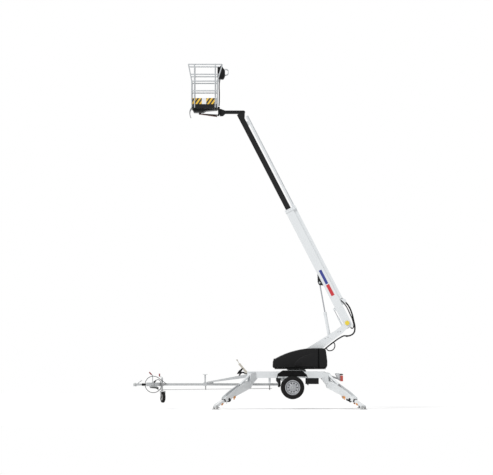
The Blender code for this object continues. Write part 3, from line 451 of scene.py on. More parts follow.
made_finishes = {}
for name, slot, base, gloss, metallic, coat, dust, blotch, grain_scale, bump_strength, specular in FINISHES:
    made, tree, shader = new_finish(name, slot)
    skin = use_group(tree, WEATHER, Base=base, Amount=dust, Blotch=blotch, Gloss=gloss)
    link_skin(tree, skin, shader)
    shader.inputs["Metallic"].default_value = metallic
    shader.inputs["Coat Weight"].default_value = coat
    shader.inputs["Specular IOR Level"].default_value = specular
    grain = use_group(tree, GRAIN, Scale=grain_scale)
    add_bump(tree, shader, grain.outputs[0], bump_strength)
    made_finishes[name] = made
white = made_finishes["white_enamel"]
moulded = made_finishes["moulded_black"]
satin = made_finishes["satin_black"]
tyre_rubber = made_finishes["tyre_rubber"]
hose = made_finishes["hose_rubber"]
rim_lacquer = made_finishes["rim_lacquer"]
red_grip = made_finishes["red_grip"]
print("painted and moulded finishes:", len(made_finishes))


# %% [markdown]
# Zinc takes its colour and gloss from the crystals and then gets the same dust. Ram rods are
# hard chrome: nearly a mirror, with faint oil smears. A reflector is small prisms under clear
# plastic, so Voronoi distance darkens its colour between them.

# %% Zinc, chrome and lenses
ZINC_METALLIC = 0.65
PRISM_SCALE = 160.0
PRISM_SHADE = 0.45


def make_zinc(name, light, dark):
    made, tree, shader = new_finish(name, "galvanised")
    crystals = use_group(tree, SPANGLE, Light=light, Dark=dark)
    skin = use_group(tree, WEATHER, Amount=0.30, Blotch=0.10)
    tree.links.new(crystals.outputs["Color"], skin.inputs["Base"])
    tree.links.new(crystals.outputs["Roughness"], skin.inputs["Gloss"])
    link_skin(tree, skin, shader)
    shader.inputs["Metallic"].default_value = ZINC_METALLIC
    return made


def make_lens(name, slot, colour):
    """A reflector: small prisms under a clear glossy face."""
    made, tree, shader = new_finish(name, slot)
    prisms = node(tree, "ShaderNodeTexVoronoi")
    prisms.inputs["Scale"].default_value = PRISM_SCALE
    tree.links.new(object_place(tree), prisms.inputs["Vector"])
    deep = tuple(c * PRISM_SHADE for c in colour)
    tree.links.new(mix(tree, prisms.outputs["Distance"], colour, deep), shader.inputs["Base Color"])
    shader.inputs["Roughness"].default_value = 0.12
    shader.inputs["Coat Weight"].default_value = 0.8
    return made


def make_polished():
    made, tree, shader = new_finish("polished_rod", "chrome_rod")
    tone = mix(tree, noise(tree, 40.0, 2.0), (0.46, 0.47, 0.49), (0.34, 0.35, 0.37))
    tree.links.new(tone, shader.inputs["Base Color"])
    shader.inputs["Metallic"].default_value = 1.0
    shader.inputs["Roughness"].default_value = 0.16
    return made


zinc = make_zinc("zinc_bright", (0.60, 0.62, 0.63), (0.40, 0.42, 0.44))
zinc_dull = make_zinc("zinc_dull", (0.42, 0.43, 0.44), (0.27, 0.28, 0.29))
polished = make_polished()
amber = make_lens("amber_lens", "lamp_red", (0.90, 0.33, 0.03))
ruby = make_lens("ruby_lens", "lamp_red", (0.62, 0.045, 0.02))
print("metal and lens finishes:", zinc.name, zinc_dull.name, polished.name, amber.name, ruby.name)


# %% [markdown]
# The toe boards round the platform carry warning stripes. They are painted, so they belong in
# the finish and not in the mesh: X less a share of Z rises along the slant, and a ping-pong
# wave of that value switches between black and yellow inside two panels.

# %% Warning stripes
STRIPE_PERIOD = 0.055
STRIPE_SLANT = 0.7
STRIPE_SHIFT = 40.0
STRIPE_PANELS = ((-1.602, -1.333), (-1.210, -0.950))


def make_hazard():
    """White toe boards with two panels of black and yellow diagonals on each long side."""
    made, tree, shader = new_finish("toe_board_stripes", "white_paint")
    x, _, z = split_place(tree)
    slant = math(tree, "SUBTRACT", x, math(tree, "MULTIPLY", z, STRIPE_SLANT))
    wave = math(tree, "PINGPONG", math(tree, "ADD", slant, STRIPE_SHIFT), STRIPE_PERIOD)
    stripe = math(tree, "GREATER_THAN", wave, STRIPE_PERIOD / 2)
    bands = mix(tree, stripe, (0.86, 0.54, 0.05), (0.02, 0.02, 0.02))
    panels = []
    for start, end in STRIPE_PANELS:
        after = math(tree, "GREATER_THAN", x, start)
        before = math(tree, "LESS_THAN", x, end)
        panels.append(math(tree, "MULTIPLY", after, before))
    inside = math(tree, "ADD", *panels)
    tree.links.new(mix(tree, inside, (0.80, 0.81, 0.81), bands), shader.inputs["Base Color"])
    shader.inputs["Roughness"].default_value = 0.35
    return made


hazard = make_hazard()
print("striped finish:", hazard.name)


# %% [markdown]
# Every solid of the CAD model keeps its shape and gets the finish that the real piece has:
# white enamel on the welded steel, zinc on the towing gear and the rails, and black on the
# plastics, the inner boom and the platform's underside.

# %% Paint the CAD solids
SOLID_SMOOTH_ANGLE = radians(30)
LEG_NAMES = ("front_left", "front_right", "rear_left", "rear_right")
PAINT = {
    white: [
        "chassis_frame", "turret_column", "main_boom", "cable_rail", "lift_barrel", "level_barrel",
    ],
    zinc: [
        "drawbar", "drawbar_braces", "overrun_coupling", "axle", "jockey_column", "jockey_fork",
        "platform_frame",
    ],
    zinc_dull: ["brake_rod", "lamp_bar", "jockey_clamp"],
    moulded: [
        "mudguard_left", "mudguard_right", "under_tray", "cable_plug", "cover_left", "cover_right",
        "control_box",
    ],
    satin: ["turntable", "inner_boom", "platform_arm", "platform_floor"],
    tyre_rubber: ["tyre_left", "tyre_right", "jockey_wheel"],
    hose: ["coupling_bellows", "chassis_hoses", "light_cable", "elbow_hoses"],
    rim_lacquer: ["rim_left", "rim_right"],
    made_finishes["console_beige"]: ["lever_console"],
    polished: ["lift_rod", "level_rod"],
    ruby: ["tail_lamp_left", "tail_lamp_right"],
    hazard: ["toe_boards"],
}
for name in LEG_NAMES:
    PAINT[white] += ["leg_" + name, "leg_barrel_" + name]
    PAINT[polished].append("leg_rod_" + name)
    PAINT[zinc].append("foot_" + name)
for finish, names in PAINT.items():
    for name in names:
        solid = nodes[name]
        solid.data.materials.clear()
        solid.data.materials.append(finish)
        only(solid)
        bpy.ops.object.shade_smooth_by_angle(angle=SOLID_SMOOTH_ANGLE)
print("painted:", sum(len(names) for names in PAINT.values()))


# %% [markdown]
# The places below repeat the CAD model's own: the boom's frame, whose X runs up the boom from
# its pivot, and each outrigger's frame, whose X runs out along the leg from its hinge pin. A
# fitting is then drawn flat and square, and the frame leans it into place.

# %% Frames to build in
PIVOT = Vector((2.727, 0, 2.397))
BOOM_ANGLE = radians(117.3)
LEG_PIN_Z = 0.720
LEG_PIN_Y = 0.550
LEG_DROP = 0.635
LEG_REACH = Vector((0.93, 1.30, 0))
LEG_SLOPE = atan2(LEG_DROP, LEG_REACH.length)
FRONT_PIN_X = -0.010
REAR_PIN_X = 2.217
LEGS = (
    ("front_left", -1, -1, FRONT_PIN_X),
    ("front_right", -1, 1, FRONT_PIN_X),
    ("rear_left", 1, -1, REAR_PIN_X),
    ("rear_right", 1, 1, REAR_PIN_X),
)


def leaning(origin, angle, turn=0.0):
    return (
        Matrix.Translation(origin)
        @ Matrix.Rotation(turn, 4, "Z")
        @ Matrix.Rotation(-angle, 4, "Y")
    )


def leg_frame(end, side, x):
    origin = Vector((x, side * LEG_PIN_Y, LEG_PIN_Z))
    return leaning(origin, -LEG_SLOPE, atan2(side * LEG_REACH.y, end * LEG_REACH.x))


BOOM = leaning(PIVOT, BOOM_ANGLE)


def on_boom(along, back, y=0.0):
    """A point given along the boom and towards its back."""
    return BOOM @ Vector((along, y, -back))


print("boom head at", [round(c, 3) for c in on_boom(3.585, 0)])


# %% [markdown]
# The tow lamp cable hangs coiled on a hook. It is a real length of round cable, so its route
# comes before the camera: straight out of the drawbar, up to the hook, once round and down. A
# curve through the route's own points bends as rubber does, and its knots are evenly spaced.

# %% A smooth route through points
FINE_STEPS = 24


def smooth_route(points, spacing):
    """Points at even steps along a smooth curve through the given ones."""
    knots = [Vector(p) for p in points]
    ends = [2 * knots[0] - knots[1]] + knots + [2 * knots[-1] - knots[-2]]
    fine = []
    for a, b, c, d in zip(ends, ends[1:], ends[2:], ends[3:]):
        for k in range(FINE_STEPS):
            t = k / FINE_STEPS
            fine.append(
                0.5 * (2 * b + (c - a) * t + (2 * a - 5 * b + 4 * c - d) * t * t
                       + (3 * b - a - 3 * c + d) * t ** 3)
            )
    fine.append(knots[-1])
    gone = [0.0]
    for p, q in zip(fine, fine[1:]):
        gone.append(gone[-1] + (q - p).length)
    count = round(gone[-1] / spacing)
    out = []
    at = 0
    for k in range(count):
        goal = gone[-1] * k / count
        while gone[at + 1] < goal:
            at += 1
        part = (goal - gone[at]) / (gone[at + 1] - gone[at])
        out.append(fine[at].lerp(fine[at + 1], part))
    return out + [knots[-1]], gone[-1]


print("route steps between points:", FINE_STEPS)


# %% [markdown]
# The coil is one turn of a large ring that drifts outwards by a few millimetres a step, so
# that the cable lies beside itself where it crosses. The tail bends down from the hook to the
# plug, which is a solid of the CAD model.

# %% Tow lamp cable
CABLE_RADIUS = 0.0085
CABLE_KNOT_STEP = 0.012
CABLE_EXIT = Vector((-2.330, -0.0328, 0.700))
ROOT_STUB = Vector((0, -0.012, 0))
ROOT = CABLE_EXIT + Vector((0, -0.023, 0))
ROOT_BEND = 0.110
ROOT_STEP = 17
UP_TO_COIL = Vector((-0.805, 0, 0.594))
HOOK_POINT = (-2.486, -0.172, 0.815)
COIL_CENTRE = Vector((-2.690, -0.178, 0.680))
COIL_RADIUS = 0.230
COIL_START = 53.6
COIL_STEP = 19
COIL_DRIFT = 0.0026
TAIL_CENTRE = Vector((-2.5633, -0.222, 0.739))
TAIL_BEND = 0.075
TAIL_START = 10
TAIL_STEP = 20
TAIL_DRIFT = 0.0006
TAIL_END = (-2.612, -0.227, 0.796)


def ring_points(centre, radius, start, step, drift, count):
    """Points round a ring in the XZ plane that drifts sideways, with angles in degrees."""
    points = []
    for k in range(count):
        a = radians(start + step * k)
        points.append(centre + Vector((radius * cos(a), -drift * k, radius * sin(a))))
    return points


route = [CABLE_EXIT, CABLE_EXIT + ROOT_STUB, ROOT]
for k in range(1, 6):
    a = radians(ROOT_STEP * k)
    sideways = Vector((0, -ROOT_BEND * sin(a), 0))
    route.append(ROOT + sideways + UP_TO_COIL * ROOT_BEND * (1 - cos(a)))
route.append(HOOK_POINT)
route += ring_points(COIL_CENTRE, COIL_RADIUS, COIL_START, COIL_STEP, COIL_DRIFT, 16)
route += ring_points(TAIL_CENTRE, TAIL_BEND, TAIL_START, TAIL_STEP, TAIL_DRIFT, 7)
route.append(TAIL_END)
cable_points, cable_length = smooth_route(route, CABLE_KNOT_STEP)
bpy.ops.curve.primitive_bezier_curve_add()
cable = bpy.context.object
cable.matrix_world = Matrix.Identity(4)
cable.data.splines.clear()
spline = cable.data.splines.new("POLY")
spline.points.add(len(cable_points) - 1)
for knot, point in zip(spline.points, cable_points):
    knot.co = (*point, 1)
cable.data.bevel_depth = CABLE_RADIUS
cable.data.bevel_resolution = 3
cable.data.use_fill_caps = True
cable.name = "tow_lamp_cable"
cable.data.materials.clear()
cable.data.materials.append(hose)
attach(cable, "chassis")
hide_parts("light_cable")
print("cable length:", round(cable_length, 3))


# %% [markdown]
# A trailer tyre shows straight grooves, fine cross sipes at the shoulders and a raised band
# near the rim. The rings come from one turned profile; each shoulder block is cut by pulling
# in every third column of points.

# %% Tyres
AXLE = Vector((1.198, 0, 0.596))
TRACK_HALF = 0.79
TYRE_PROFILE = (
    (0.2085, -0.082), (0.218, -0.092), (0.235, -0.0965), (0.262, -0.0975), (0.268, -0.0955),
    (0.290, -0.0935), (0.308, -0.087), (0.318, -0.078), (0.3235, -0.066), (0.325, -0.050),
    (0.317, -0.048), (0.317, -0.040), (0.3258, -0.038), (0.326, -0.008), (0.318, -0.006),
    (0.318, 0.006), (0.326, 0.008), (0.3258, 0.038), (0.317, 0.040), (0.317, 0.048),
    (0.325, 0.050), (0.3235, 0.066), (0.318, 0.078), (0.308, 0.087), (0.290, 0.0935),
    (0.268, 0.0955), (0.262, 0.0975), (0.235, 0.0965), (0.218, 0.092), (0.2085, 0.082),
)
TREAD_STEPS = 120
SIPE_EVERY = 3
SIPE_DEPTH = 0.006
SHOULDER_RADIUS = 0.312
SHOULDER_OUT = 0.06


def make_tyre(name, side):
    made = lathe(TYRE_PROFILE, TREAD_STEPS)
    for vertex in made.data.vertices:
        radius = hypot(vertex.co.x, vertex.co.z)
        column = round(atan2(vertex.co.z, vertex.co.x) / (2 * pi) * TREAD_STEPS)
        on_shoulder = radius > SHOULDER_RADIUS and abs(vertex.co.y) > SHOULDER_OUT
        if on_shoulder and column % SIPE_EVERY == 0:
            pull = (radius - SIPE_DEPTH) / radius
            vertex.co.x *= pull
            vertex.co.z *= pull
    made.data.transform(Matrix.Translation((AXLE.x, side * TRACK_HALF, AXLE.z)))
    settle(made, "tyre_tread_" + name, tyre_rubber, "wheel_" + name, ["tyre_" + name])


print("a tread of", TREAD_STEPS // SIPE_EVERY, "shoulder blocks is ready for each wheel")


# %% [markdown]
# A pressed steel wheel has a raised ridge round its nuts. Behind its ten holes lies a flat black
# disc that stands for the brake drum and is also painted shade: it is wider than the drum, so the
# holes read black as if the inside of the wheel lay in shadow. Each is a small section turned
# about the axle, because both are round.

# %% Drum discs with painted shade, and wheel ridges
# A thin black disc, wider than a real drum: painted shade seen through the wheel's holes.
DRUM_AND_SHADE_DISC = ((0.0745, 0.000), (0.172, 0.000), (0.172, 0.006), (0.0745, 0.006))
DISC_RIDGE = ((0.103, -0.0215), (0.082, -0.0215), (0.087, -0.032), (0.094, -0.035), (0.100, -0.031))
RING_STEPS = 48
WHEEL_RINGS = ((DRUM_AND_SHADE_DISC, "drum_and_shade_", satin), (DISC_RIDGE, "rim_ridge_", rim_lacquer))


def wheel_place(side, out=0.0):
    """Where a wheel is, turned so that its -Y face looks away from the machine."""
    turn = Matrix.Rotation(0 if side < 0 else pi, 4, "Z")
    return Matrix.Translation((AXLE.x, side * (TRACK_HALF + out), AXLE.z)) @ turn


def make_rings(name, side):
    for profile, piece, finish in WHEEL_RINGS:
        ring = lathe(profile, RING_STEPS)
        ring.data.transform(wheel_place(side))
        settle(ring, piece + name, finish, "wheel_" + name)


print("drums and ridges are turned in", RING_STEPS, "steps")


# %% [markdown]
# The wheel's middle is a dust cap in a zinc hub with five nuts round it. They are short bars
# round the axle, and the right wheel's are the left one's turned about.

# %% Wheels
HUB_OUT = 0.035
NUT_COUNT = 5
NUT_CIRCLE = 0.056
FIRST_NUT = 0.3


def make_nuts(name, side):
    parts = [rod((0, 0.021, 0), (0, -0.016, 0), 0.036, 24, 0.004)]
    parts.append(rod((0, -0.010, 0), (0, -0.046, 0), 0.030, 24, 0.006, 0.022))
    for k in range(NUT_COUNT):
        a = 2 * pi * k / NUT_COUNT + FIRST_NUT
        x = NUT_CIRCLE * cos(a)
        z = NUT_CIRCLE * sin(a)
        parts.append(rod((x, -0.005, z), (x, -0.040, z), 0.011, 6, 0.002))
    hub = merge(parts)
    hub.data.transform(wheel_place(side, HUB_OUT))
    settle(hub, "wheel_nuts_" + name, zinc, "wheel_" + name)


for name, side in SIDES:
    make_tyre(name, side)
    make_nuts(name, side)
    make_rings(name, side)
print("wheels made with", NUT_COUNT, "nuts each")


# %% [markdown]
# Each outrigger's outer end carries amber tabs on both sides, a black wear collar where the
# inner tube comes out, a black saddle under the leg, and a small lashing ring. They are drawn
# in the leg's own frame, so one function serves all four legs.

# %% Outrigger trim
HANGING_TAB = (
    (0.835, -0.040), (0.940, -0.036), (0.955, -0.120), (0.915, -0.128), (0.895, -0.092),
    (0.850, -0.112),
)
FOOT_TAB = ((1.415, -0.020), (1.500, -0.020), (1.505, -0.072), (1.425, -0.072))
WEAR_CHEEK = ((1.085, -0.092), (1.170, -0.092), (1.185, 0.005), (1.105, 0.005))
OUTER_TUBE = 0.0704
INNER_TUBE = 0.0384
TAB_THICK = 0.005
CHEEK_THICK = 0.008
LASHING = Vector((1.30, 0.078, -0.070))
LASHING_RADIUS = 0.020


def leg_trim(name, end, side, x):
    place = leg_frame(end, side, x)
    body = "leg_" + name
    tabs = plate_pair(HANGING_TAB, OUTER_TUBE, OUTER_TUBE + TAB_THICK, 0.001, place)
    tabs += plate_pair(FOOT_TAB, INNER_TUBE, INNER_TUBE + TAB_THICK, 0.001, place)
    settle(merge(tabs), "reflectors_" + name, amber, body)
    collar = [solid_box((1.296, -0.056, -0.042), (1.322, 0.056, 0.050), 0.004, place)]
    collar += plate_pair(WEAR_CHEEK, OUTER_TUBE, OUTER_TUBE + CHEEK_THICK, 0.002, place)
    collar.append(solid_box((1.085, -0.078, -0.098), (1.170, 0.078, -0.066), 0.004, place))
    settle(merge(collar), "wear_collar_" + name, moulded, body)
    knots = []
    for k in range(4):
        a = k * pi / 2
        offset = Vector((LASHING_RADIUS * cos(a), 0, LASHING_RADIUS * sin(a)))
        knots.append(place @ (LASHING + offset))
    settle(pipe(knots, 0.004, closed=True), "lashing_ring_" + name, zinc, body)


for name, end, side, x in LEGS:
    leg_trim(name, end, side, x)
print("outriggers dressed:", len(LEGS))


# %% [markdown]
# Two moulded covers hide the pump and the tanks on each side of the column. Each is a front
# and a rear shell that meet at an open seam, with a raised panel whose edge is the crease that
# sweeps up the side. Only the outer rim is rounded, as on a vacuum-formed sheet, so the bevel
# takes only the edges that lie on the outer face and not on the seam.

# %% Shape of the moulded covers
COVER_IN = 0.141
COVER_OUT = 0.354
COVER_BEVEL = 0.036
SEAM_X = 1.930
SEAM_GAP = 0.001
FRONT_SHELL = (
    (0.642, 1.180), (0.650, 1.320), (0.672, 1.372), (0.716, 1.402), (0.840, 1.468),
    (0.994, 1.537), (1.140, 1.588), (1.283, 1.628), (1.420, 1.658), (1.580, 1.682),
    (1.760, 1.690), (SEAM_X - SEAM_GAP, 1.691), (SEAM_X - SEAM_GAP, 1.128), (0.705, 1.128),
    (0.660, 1.146),
)
REAR_SHELL = (
    (SEAM_X + SEAM_GAP, 1.691), (2.060, 1.690), (2.108, 1.676), (2.128, 1.640), (2.150, 1.500),
    (2.172, 1.320), (2.168, 1.200), (2.140, 1.142), (2.090, 1.128), (SEAM_X + SEAM_GAP, 1.128),
)
SIDE_PANEL = (
    (1.235, 1.185), (1.262, 1.270), (1.315, 1.345), (1.400, 1.415), (1.520, 1.475),
    (1.680, 1.530), (1.880, 1.572), (1.900, 1.560), (1.900, 1.200), (1.885, 1.180),
    (1.260, 1.172),
)
PANEL_SUNK = 0.020
PANEL_RAISED = 0.014
PANEL_BEVEL = 0.013
FACE_TOLERANCE = 0.0001
SEAM_TOLERANCE = 0.002


def soften_rim(made, y, width, segments):
    """Round the edges of the face at y, and leave the rest and the seam sharp."""
    only(made)
    bpy.ops.object.mode_set(mode="EDIT")
    bpy.ops.mesh.select_all(action="DESELECT")
    bpy.ops.object.mode_set(mode="OBJECT")
    for edge in made.data.edges:
        points = [made.data.vertices[k].co for k in edge.vertices]
        off_face = max(abs(point.y - y) for point in points)
        off_seam = max(abs(point.x - SEAM_X) for point in points)
        edge.select = off_face < FACE_TOLERANCE and off_seam > SEAM_TOLERANCE
    bpy.ops.object.mode_set(mode="EDIT")
    bpy.ops.mesh.select_mode(type="EDGE")
    bpy.ops.mesh.bevel(offset=width, segments=segments, profile=0.5)
    bpy.ops.mesh.select_mode(type="VERT")
    bpy.ops.object.mode_set(mode="OBJECT")
    return made


print("cover shells have", len(FRONT_SHELL), "and", len(REAR_SHELL), "points")


# %% [markdown]
# The latches are round quarter-turn buttons that stand a little proud of the cover, and one
# more button sits on the front shoulder.

# %% Moulded covers
LATCHES = ((0.735, 1.262), (1.500, 1.160), (2.060, 1.168))
LATCH_HALF = 0.010
SHOULDER_BUTTON = (0.690, 1.380)


def make_cover(name, side):
    outer = side * COVER_OUT
    low, high = span(side, COVER_IN, COVER_OUT)
    shells = []
    for outline in (FRONT_SHELL, REAR_SHELL):
        shells.append(soften_rim(plate(outline, low, high, 0), outer, COVER_BEVEL, 5))
    raised = outer + side * PANEL_RAISED
    low, high = sorted((outer - side * PANEL_SUNK, raised))
    shells.append(soften_rim(plate(SIDE_PANEL, low, high, 0), raised, PANEL_BEVEL, 3))
    settle(merge(shells), "cover_shell_" + name, moulded, "turret", ["cover_" + name])
    latches = []
    for x, z in LATCHES:
        start = (x, outer - side * LATCH_HALF, z)
        latches.append(rod(start, (x, outer + side * LATCH_HALF, z), 0.014, 24, 0.003))
    x, z = SHOULDER_BUTTON
    start = (x, outer - side * 0.09, z)
    latches.append(rod(start, (x, outer - side * 0.06, z), 0.022, 20, 0.004))
    settle(merge(latches), "cover_latches_" + name, satin, "turret")


for name, side in SIDES:
    make_cover(name, side)
print("covers made, seam at x =", SEAM_X)


# %% [markdown]
# The hoses follow the moving steel: one loop crosses the boom's pivot, one runs along the
# column under its cable tray, and a slack loop hangs below it. Each is a bent tube on the
# body that carries it, and a clamp covers the joint between the two bodies.

# %% Hoses on the column
COLUMN_HOSE = (
    (2.722, 2.0305), (2.650, 2.038), (2.570, 2.008), (2.300, 1.825), (2.110, 1.675),
    (2.020, 1.600),
)
HANGING_LOOP = (
    (2.150, 1.700), (2.180, 1.640), (2.280, 1.625), (2.360, 1.680), (2.385, 1.790),
    (2.350, 1.860),
)
SLACK_Y = 0.036
settle(pipe([(x, 0.0, z) for x, z in COLUMN_HOSE], 0.020), "column_hose", hose, "turret")
settle(rod((2.694, 0, 2.031), (2.740, 0, 2.033), 0.0265, 24, 0.004), "hose_clamp", satin, "turret")
settle(pipe([(x, SLACK_Y, z) for x, z in HANGING_LOOP], 0.015), "slack_hose", hose, "turret")
print("column hoses made")


# %% [markdown]
# The large bundle leaves the cable rail along the boom's back and turns down to the clamp. Two
# thinner hoses run from the same mouth to the boom's foot, one on each side of the bundle.

# %% Hoses on the boom
RAIL_MOUTH = (0.740, 0.710, 0.680, 0.645)
RAIL_BACK = 0.185
ELBOW = (
    (2.700, 2.960), (2.790, 2.840), (2.850, 2.700), (2.910, 2.464),
    (2.945, 2.260), (2.915, 2.120), (2.820, 2.050), (2.720, 2.030),
)
INNER_LOOP = (
    (0.640, 0.140), (0.460, 0.190), (0.200, 0.190), (-0.050, 0.165), (-0.180, 0.110),
    (-0.200, 0.060), (-0.148, 0.030),
)
INNER_LOOP_Y = 0.045
mouth = [on_boom(along, RAIL_BACK) for along in RAIL_MOUTH]
bundle = pipe(mouth + [(x, 0.0, z) for x, z in ELBOW], 0.0225)
settle(bundle, "elbow_bundle", hose, "boom", ["elbow_hoses"])
for label, side in SIDES:
    strand = pipe([on_boom(a, v, side * INNER_LOOP_Y) for a, v in INNER_LOOP], 0.015)
    settle(strand, "boom_hose_" + label, hose, "boom")
print("boom hoses made")


# %% [markdown]
# The control box stands on the platform's inner rail. Its case is a soft-edged moulding with a
# sloped panel, so it is one outline pushed sideways, and a bent guard loop on each side keeps
# elbows off the levers. A cable hangs from it down to the platform's foot.

# %% Control box
CASE = (
    (-0.900, 9.238), (-0.840, 9.225), (-0.735, 9.214), (-0.688, 9.300), (-0.688, 9.470),
    (-0.760, 9.552), (-0.900, 9.562),
)
CASE_HALF = 0.230
KNOB = (
    (-0.835, 9.545), (-0.815, 9.592), (-0.795, 9.602), (-0.772, 9.594), (-0.730, 9.500),
)
KNOB_HALF = 0.030
GUARD = ((-0.690, 9.500), (-0.612, 9.480), (-0.598, 9.420), (-0.610, 9.360), (-0.690, 9.330))
GUARD_Y = 0.18
LEAD = (
    (-0.830, -0.10, 9.215), (-0.850, -0.10, 9.080), (-0.845, -0.10, 8.800),
    (-0.850, -0.10, 8.560), (-0.855, -0.08, 8.470),
)
case = plate(CASE, -CASE_HALF, CASE_HALF, 0.020)
stand = solid_box((-0.905, -0.060, 9.158), (-0.880, 0.060, 9.235), 0.003)
settle(merge([case, stand]), "control_case", moulded, "platform", ["control_box"])
knobs = [plate(KNOB, y - KNOB_HALF, y + KNOB_HALF, 0.010) for y in (-0.14, 0.0, 0.14)]
settle(merge(knobs), "control_levers", moulded, "platform")
guards = [pipe([(x, side * GUARD_Y, z) for x, z in GUARD], 0.009) for _, side in SIDES]
settle(merge(guards), "control_guard", zinc, "platform")
settle(pipe(LEAD, 0.015), "control_lead", hose, "platform")
print("control box made with", len(knobs), "levers")


# %% [markdown]
# Under the platform hang a step made of one bent tube, a brown link bar, two moulded pans and
# the thick cheeks of the arm's knuckle. The step's far half is the near half mirrored in Y.

# %% Underside of the platform
STEP_SIDE = (
    (-1.640, 0.300, 8.398), (-1.672, 0.300, 8.310), (-1.668, 0.300, 8.210),
    (-1.652, 0.280, 8.160), (-1.648, 0.200, 8.150),
)
PAN = (
    (-1.600, 8.379), (-1.562, 8.286), (-1.290, 8.286), (-1.215, 8.330), (-0.900, 8.352),
    (-0.900, 8.379),
)
KNUCKLE = (
    (-0.834, 8.395), (-0.790, 8.385), (-0.695, 8.350), (-0.690, 8.240), (-0.742, 8.190),
    (-0.834, 8.182),
)
near_side = [(x, -y, z) for x, y, z in STEP_SIDE]
step = pipe(near_side + list(reversed(STEP_SIDE)), 0.011)
settle(step, "step_loop", zinc_dull, "platform")
link_bar = rod((-1.400, -0.06, 8.246), (-0.905, -0.06, 8.175), 0.016, 16)
settle(link_bar, "lower_bar", made_finishes["rust_brown"], "platform")
settle(merge(plate_pair(PAN, 0.060, 0.420, 0.010)), "tray_pans", satin, "platform")
settle(merge(plate_pair(KNUCKLE, 0.0404, 0.056, 0.004)), "arm_cheeks", satin, "platform")
print("platform underside dressed")


# %% [markdown]
# The pivot pin ends in a bright yellow disc on each side, and the boom's head is a collar held
# by two rows of hexagon bolts. Each is a short bar set just proud of the plate it is on.

# %% Pivot discs and head bolts
DISC_Y = 0.139
DISC_THICK = 0.008
BOLT_SEAT = 0.108
BOLT_TOP = 0.116
BOLT_ROWS = (3.515, 3.565)
BOLT_BACKS = (-0.085, -0.020, 0.045, 0.110, 0.175)
for label, side in SIDES:
    y = side * DISC_Y
    end = (PIVOT.x, y + side * DISC_THICK, PIVOT.z)
    disc = rod((PIVOT.x, y, PIVOT.z), end, 0.064, 40, 0.002)
    settle(disc, "pivot_disc_" + label, made_finishes["yellow_disc"], "turret")
bolts = []
for _, side in SIDES:
    for along in BOLT_ROWS:
        for back in BOLT_BACKS:
            start = on_boom(along, back, side * BOLT_SEAT)
            bolts.append(rod(start, on_boom(along, back, side * BOLT_TOP), 0.009, 6, 0.001))
settle(merge(bolts), "head_bolts", zinc, "boom")
print("head bolts:", len(BOLT_ROWS) * len(BOLT_BACKS) * len(SIDES))


# %% [markdown]
# Where a painted mark would be there are only two plain bars of colour. They are thin strips
# that lie on the boom's skin, because a painted edge this sharp needs its own mesh.

# %% Colour bars
def boom_strips(name, finish, body, start, end, front, back, near, far):
    """A strip on each side, from start to end along the boom and from front to back."""
    strips = []
    for _, side in SIDES:
        low, high = span(side, near, far)
        strips.append(solid_box((start, low, -back), (end, high, -front), 0, place=BOOM))
    settle(merge(strips), name, finish, body)


BAR_SKIN = (0.1001, 0.1007)
blue = made_finishes["blue_bar"]
red = made_finishes["red_bar"]
boom_strips("blue_side_bars", blue, "boom", 1.230, 1.660, -0.036, 0.044, *BAR_SKIN)
boom_strips("red_side_bars", red, "boom", 0.860, 1.205, -0.044, 0.050, *BAR_SKIN)
print("colour bars lie", BAR_SKIN[0], "from the boom's middle")


# %% [markdown]
# The lift ram's upper pin sits in a black lug under the boom and shows as a zinc cap on each
# side. The lug is a cut plate on both sides of the boom, and its outline is given along the
# boom and towards its back, as on a workshop drawing.

# %% Lift lug
def boom_cheeks(name, finish, body, outline, near, far):
    """A cut plate on each side of the boom."""
    flipped = [(along, -back) for along, back in outline]
    settle(merge(plate_pair(flipped, near, far, 0.002, BOOM)), name, finish, body)


LUG = ((1.600, -0.1075), (1.235, -0.1075), (1.305, -0.208), (1.360, -0.212), (1.410, -0.196))
LIFT_PIN_ALONG = 1.355
LIFT_PIN_BACK = -0.1665
boom_cheeks("lift_lug_cheeks", satin, "boom", LUG, 0.0703, 0.0763)
caps = []
for _, side in SIDES:
    start = on_boom(LIFT_PIN_ALONG, LIFT_PIN_BACK, side * 0.0764)
    end = on_boom(LIFT_PIN_ALONG, LIFT_PIN_BACK, side * 0.084)
    caps.append(rod(start, end, 0.026, 24, 0.002))
settle(merge(caps), "lift_pin_caps", zinc, "boom")
print("lift lug made with", len(caps), "pin caps")


# %% [markdown]
# The hoses hang from a white lug near the boom's foot, and the cable rail on the inner boom
# has bright zinc edges. They are made by the same two helpers as the pieces above.

# %% Hose lugs and rail edges
HOSE_LUG = ((0.688, 0.1175), (0.500, 0.1175), (0.520, 0.222), (0.590, 0.272), (0.688, 0.2115))
boom_cheeks("hose_lugs", white, "boom", HOSE_LUG, 0.034, 0.042)
boom_strips("rail_edges", zinc, "telescope", 3.640, 6.430, 0.1760, 0.2010, 0.0451, 0.0481)
print("hose lugs have", len(HOSE_LUG), "corners")


# %% [markdown]
# The column's plates are held by hexagon bolts, and the inner boom ends in a rounded cheek
# that takes the platform arm's pin.

# %% Column bolts and boom tip
COLUMN_BOLTS = ((2.468, 2.150), (2.535, 2.162), (2.190, 2.000), (2.110, 1.960))
TIP_CHEEK = (
    (6.400, -0.068), (6.400, 0.078), (6.500, 0.085), (6.560, 0.065), (6.592, 0.010),
    (6.590, -0.068),
)
bolts = []
for _, side in SIDES:
    for x, z in COLUMN_BOLTS:
        bolts.append(rod((x, side * 0.126, z), (x, side * 0.134, z), 0.013, 6, 0.002))
settle(merge(bolts), "column_bolts", zinc_dull, "turret")
boom_cheeks("tip_cheeks", satin, "telescope", TIP_CHEEK, 0.0705, 0.0765)
print("column bolts:", len(COLUMN_BOLTS) * len(SIDES))


# %% [markdown]
# A ram with a long stroke shows a second, thicker stage between its barrel and its thin rod,
# so a polished stem rides with the rod and reaches down into the barrel's mouth.

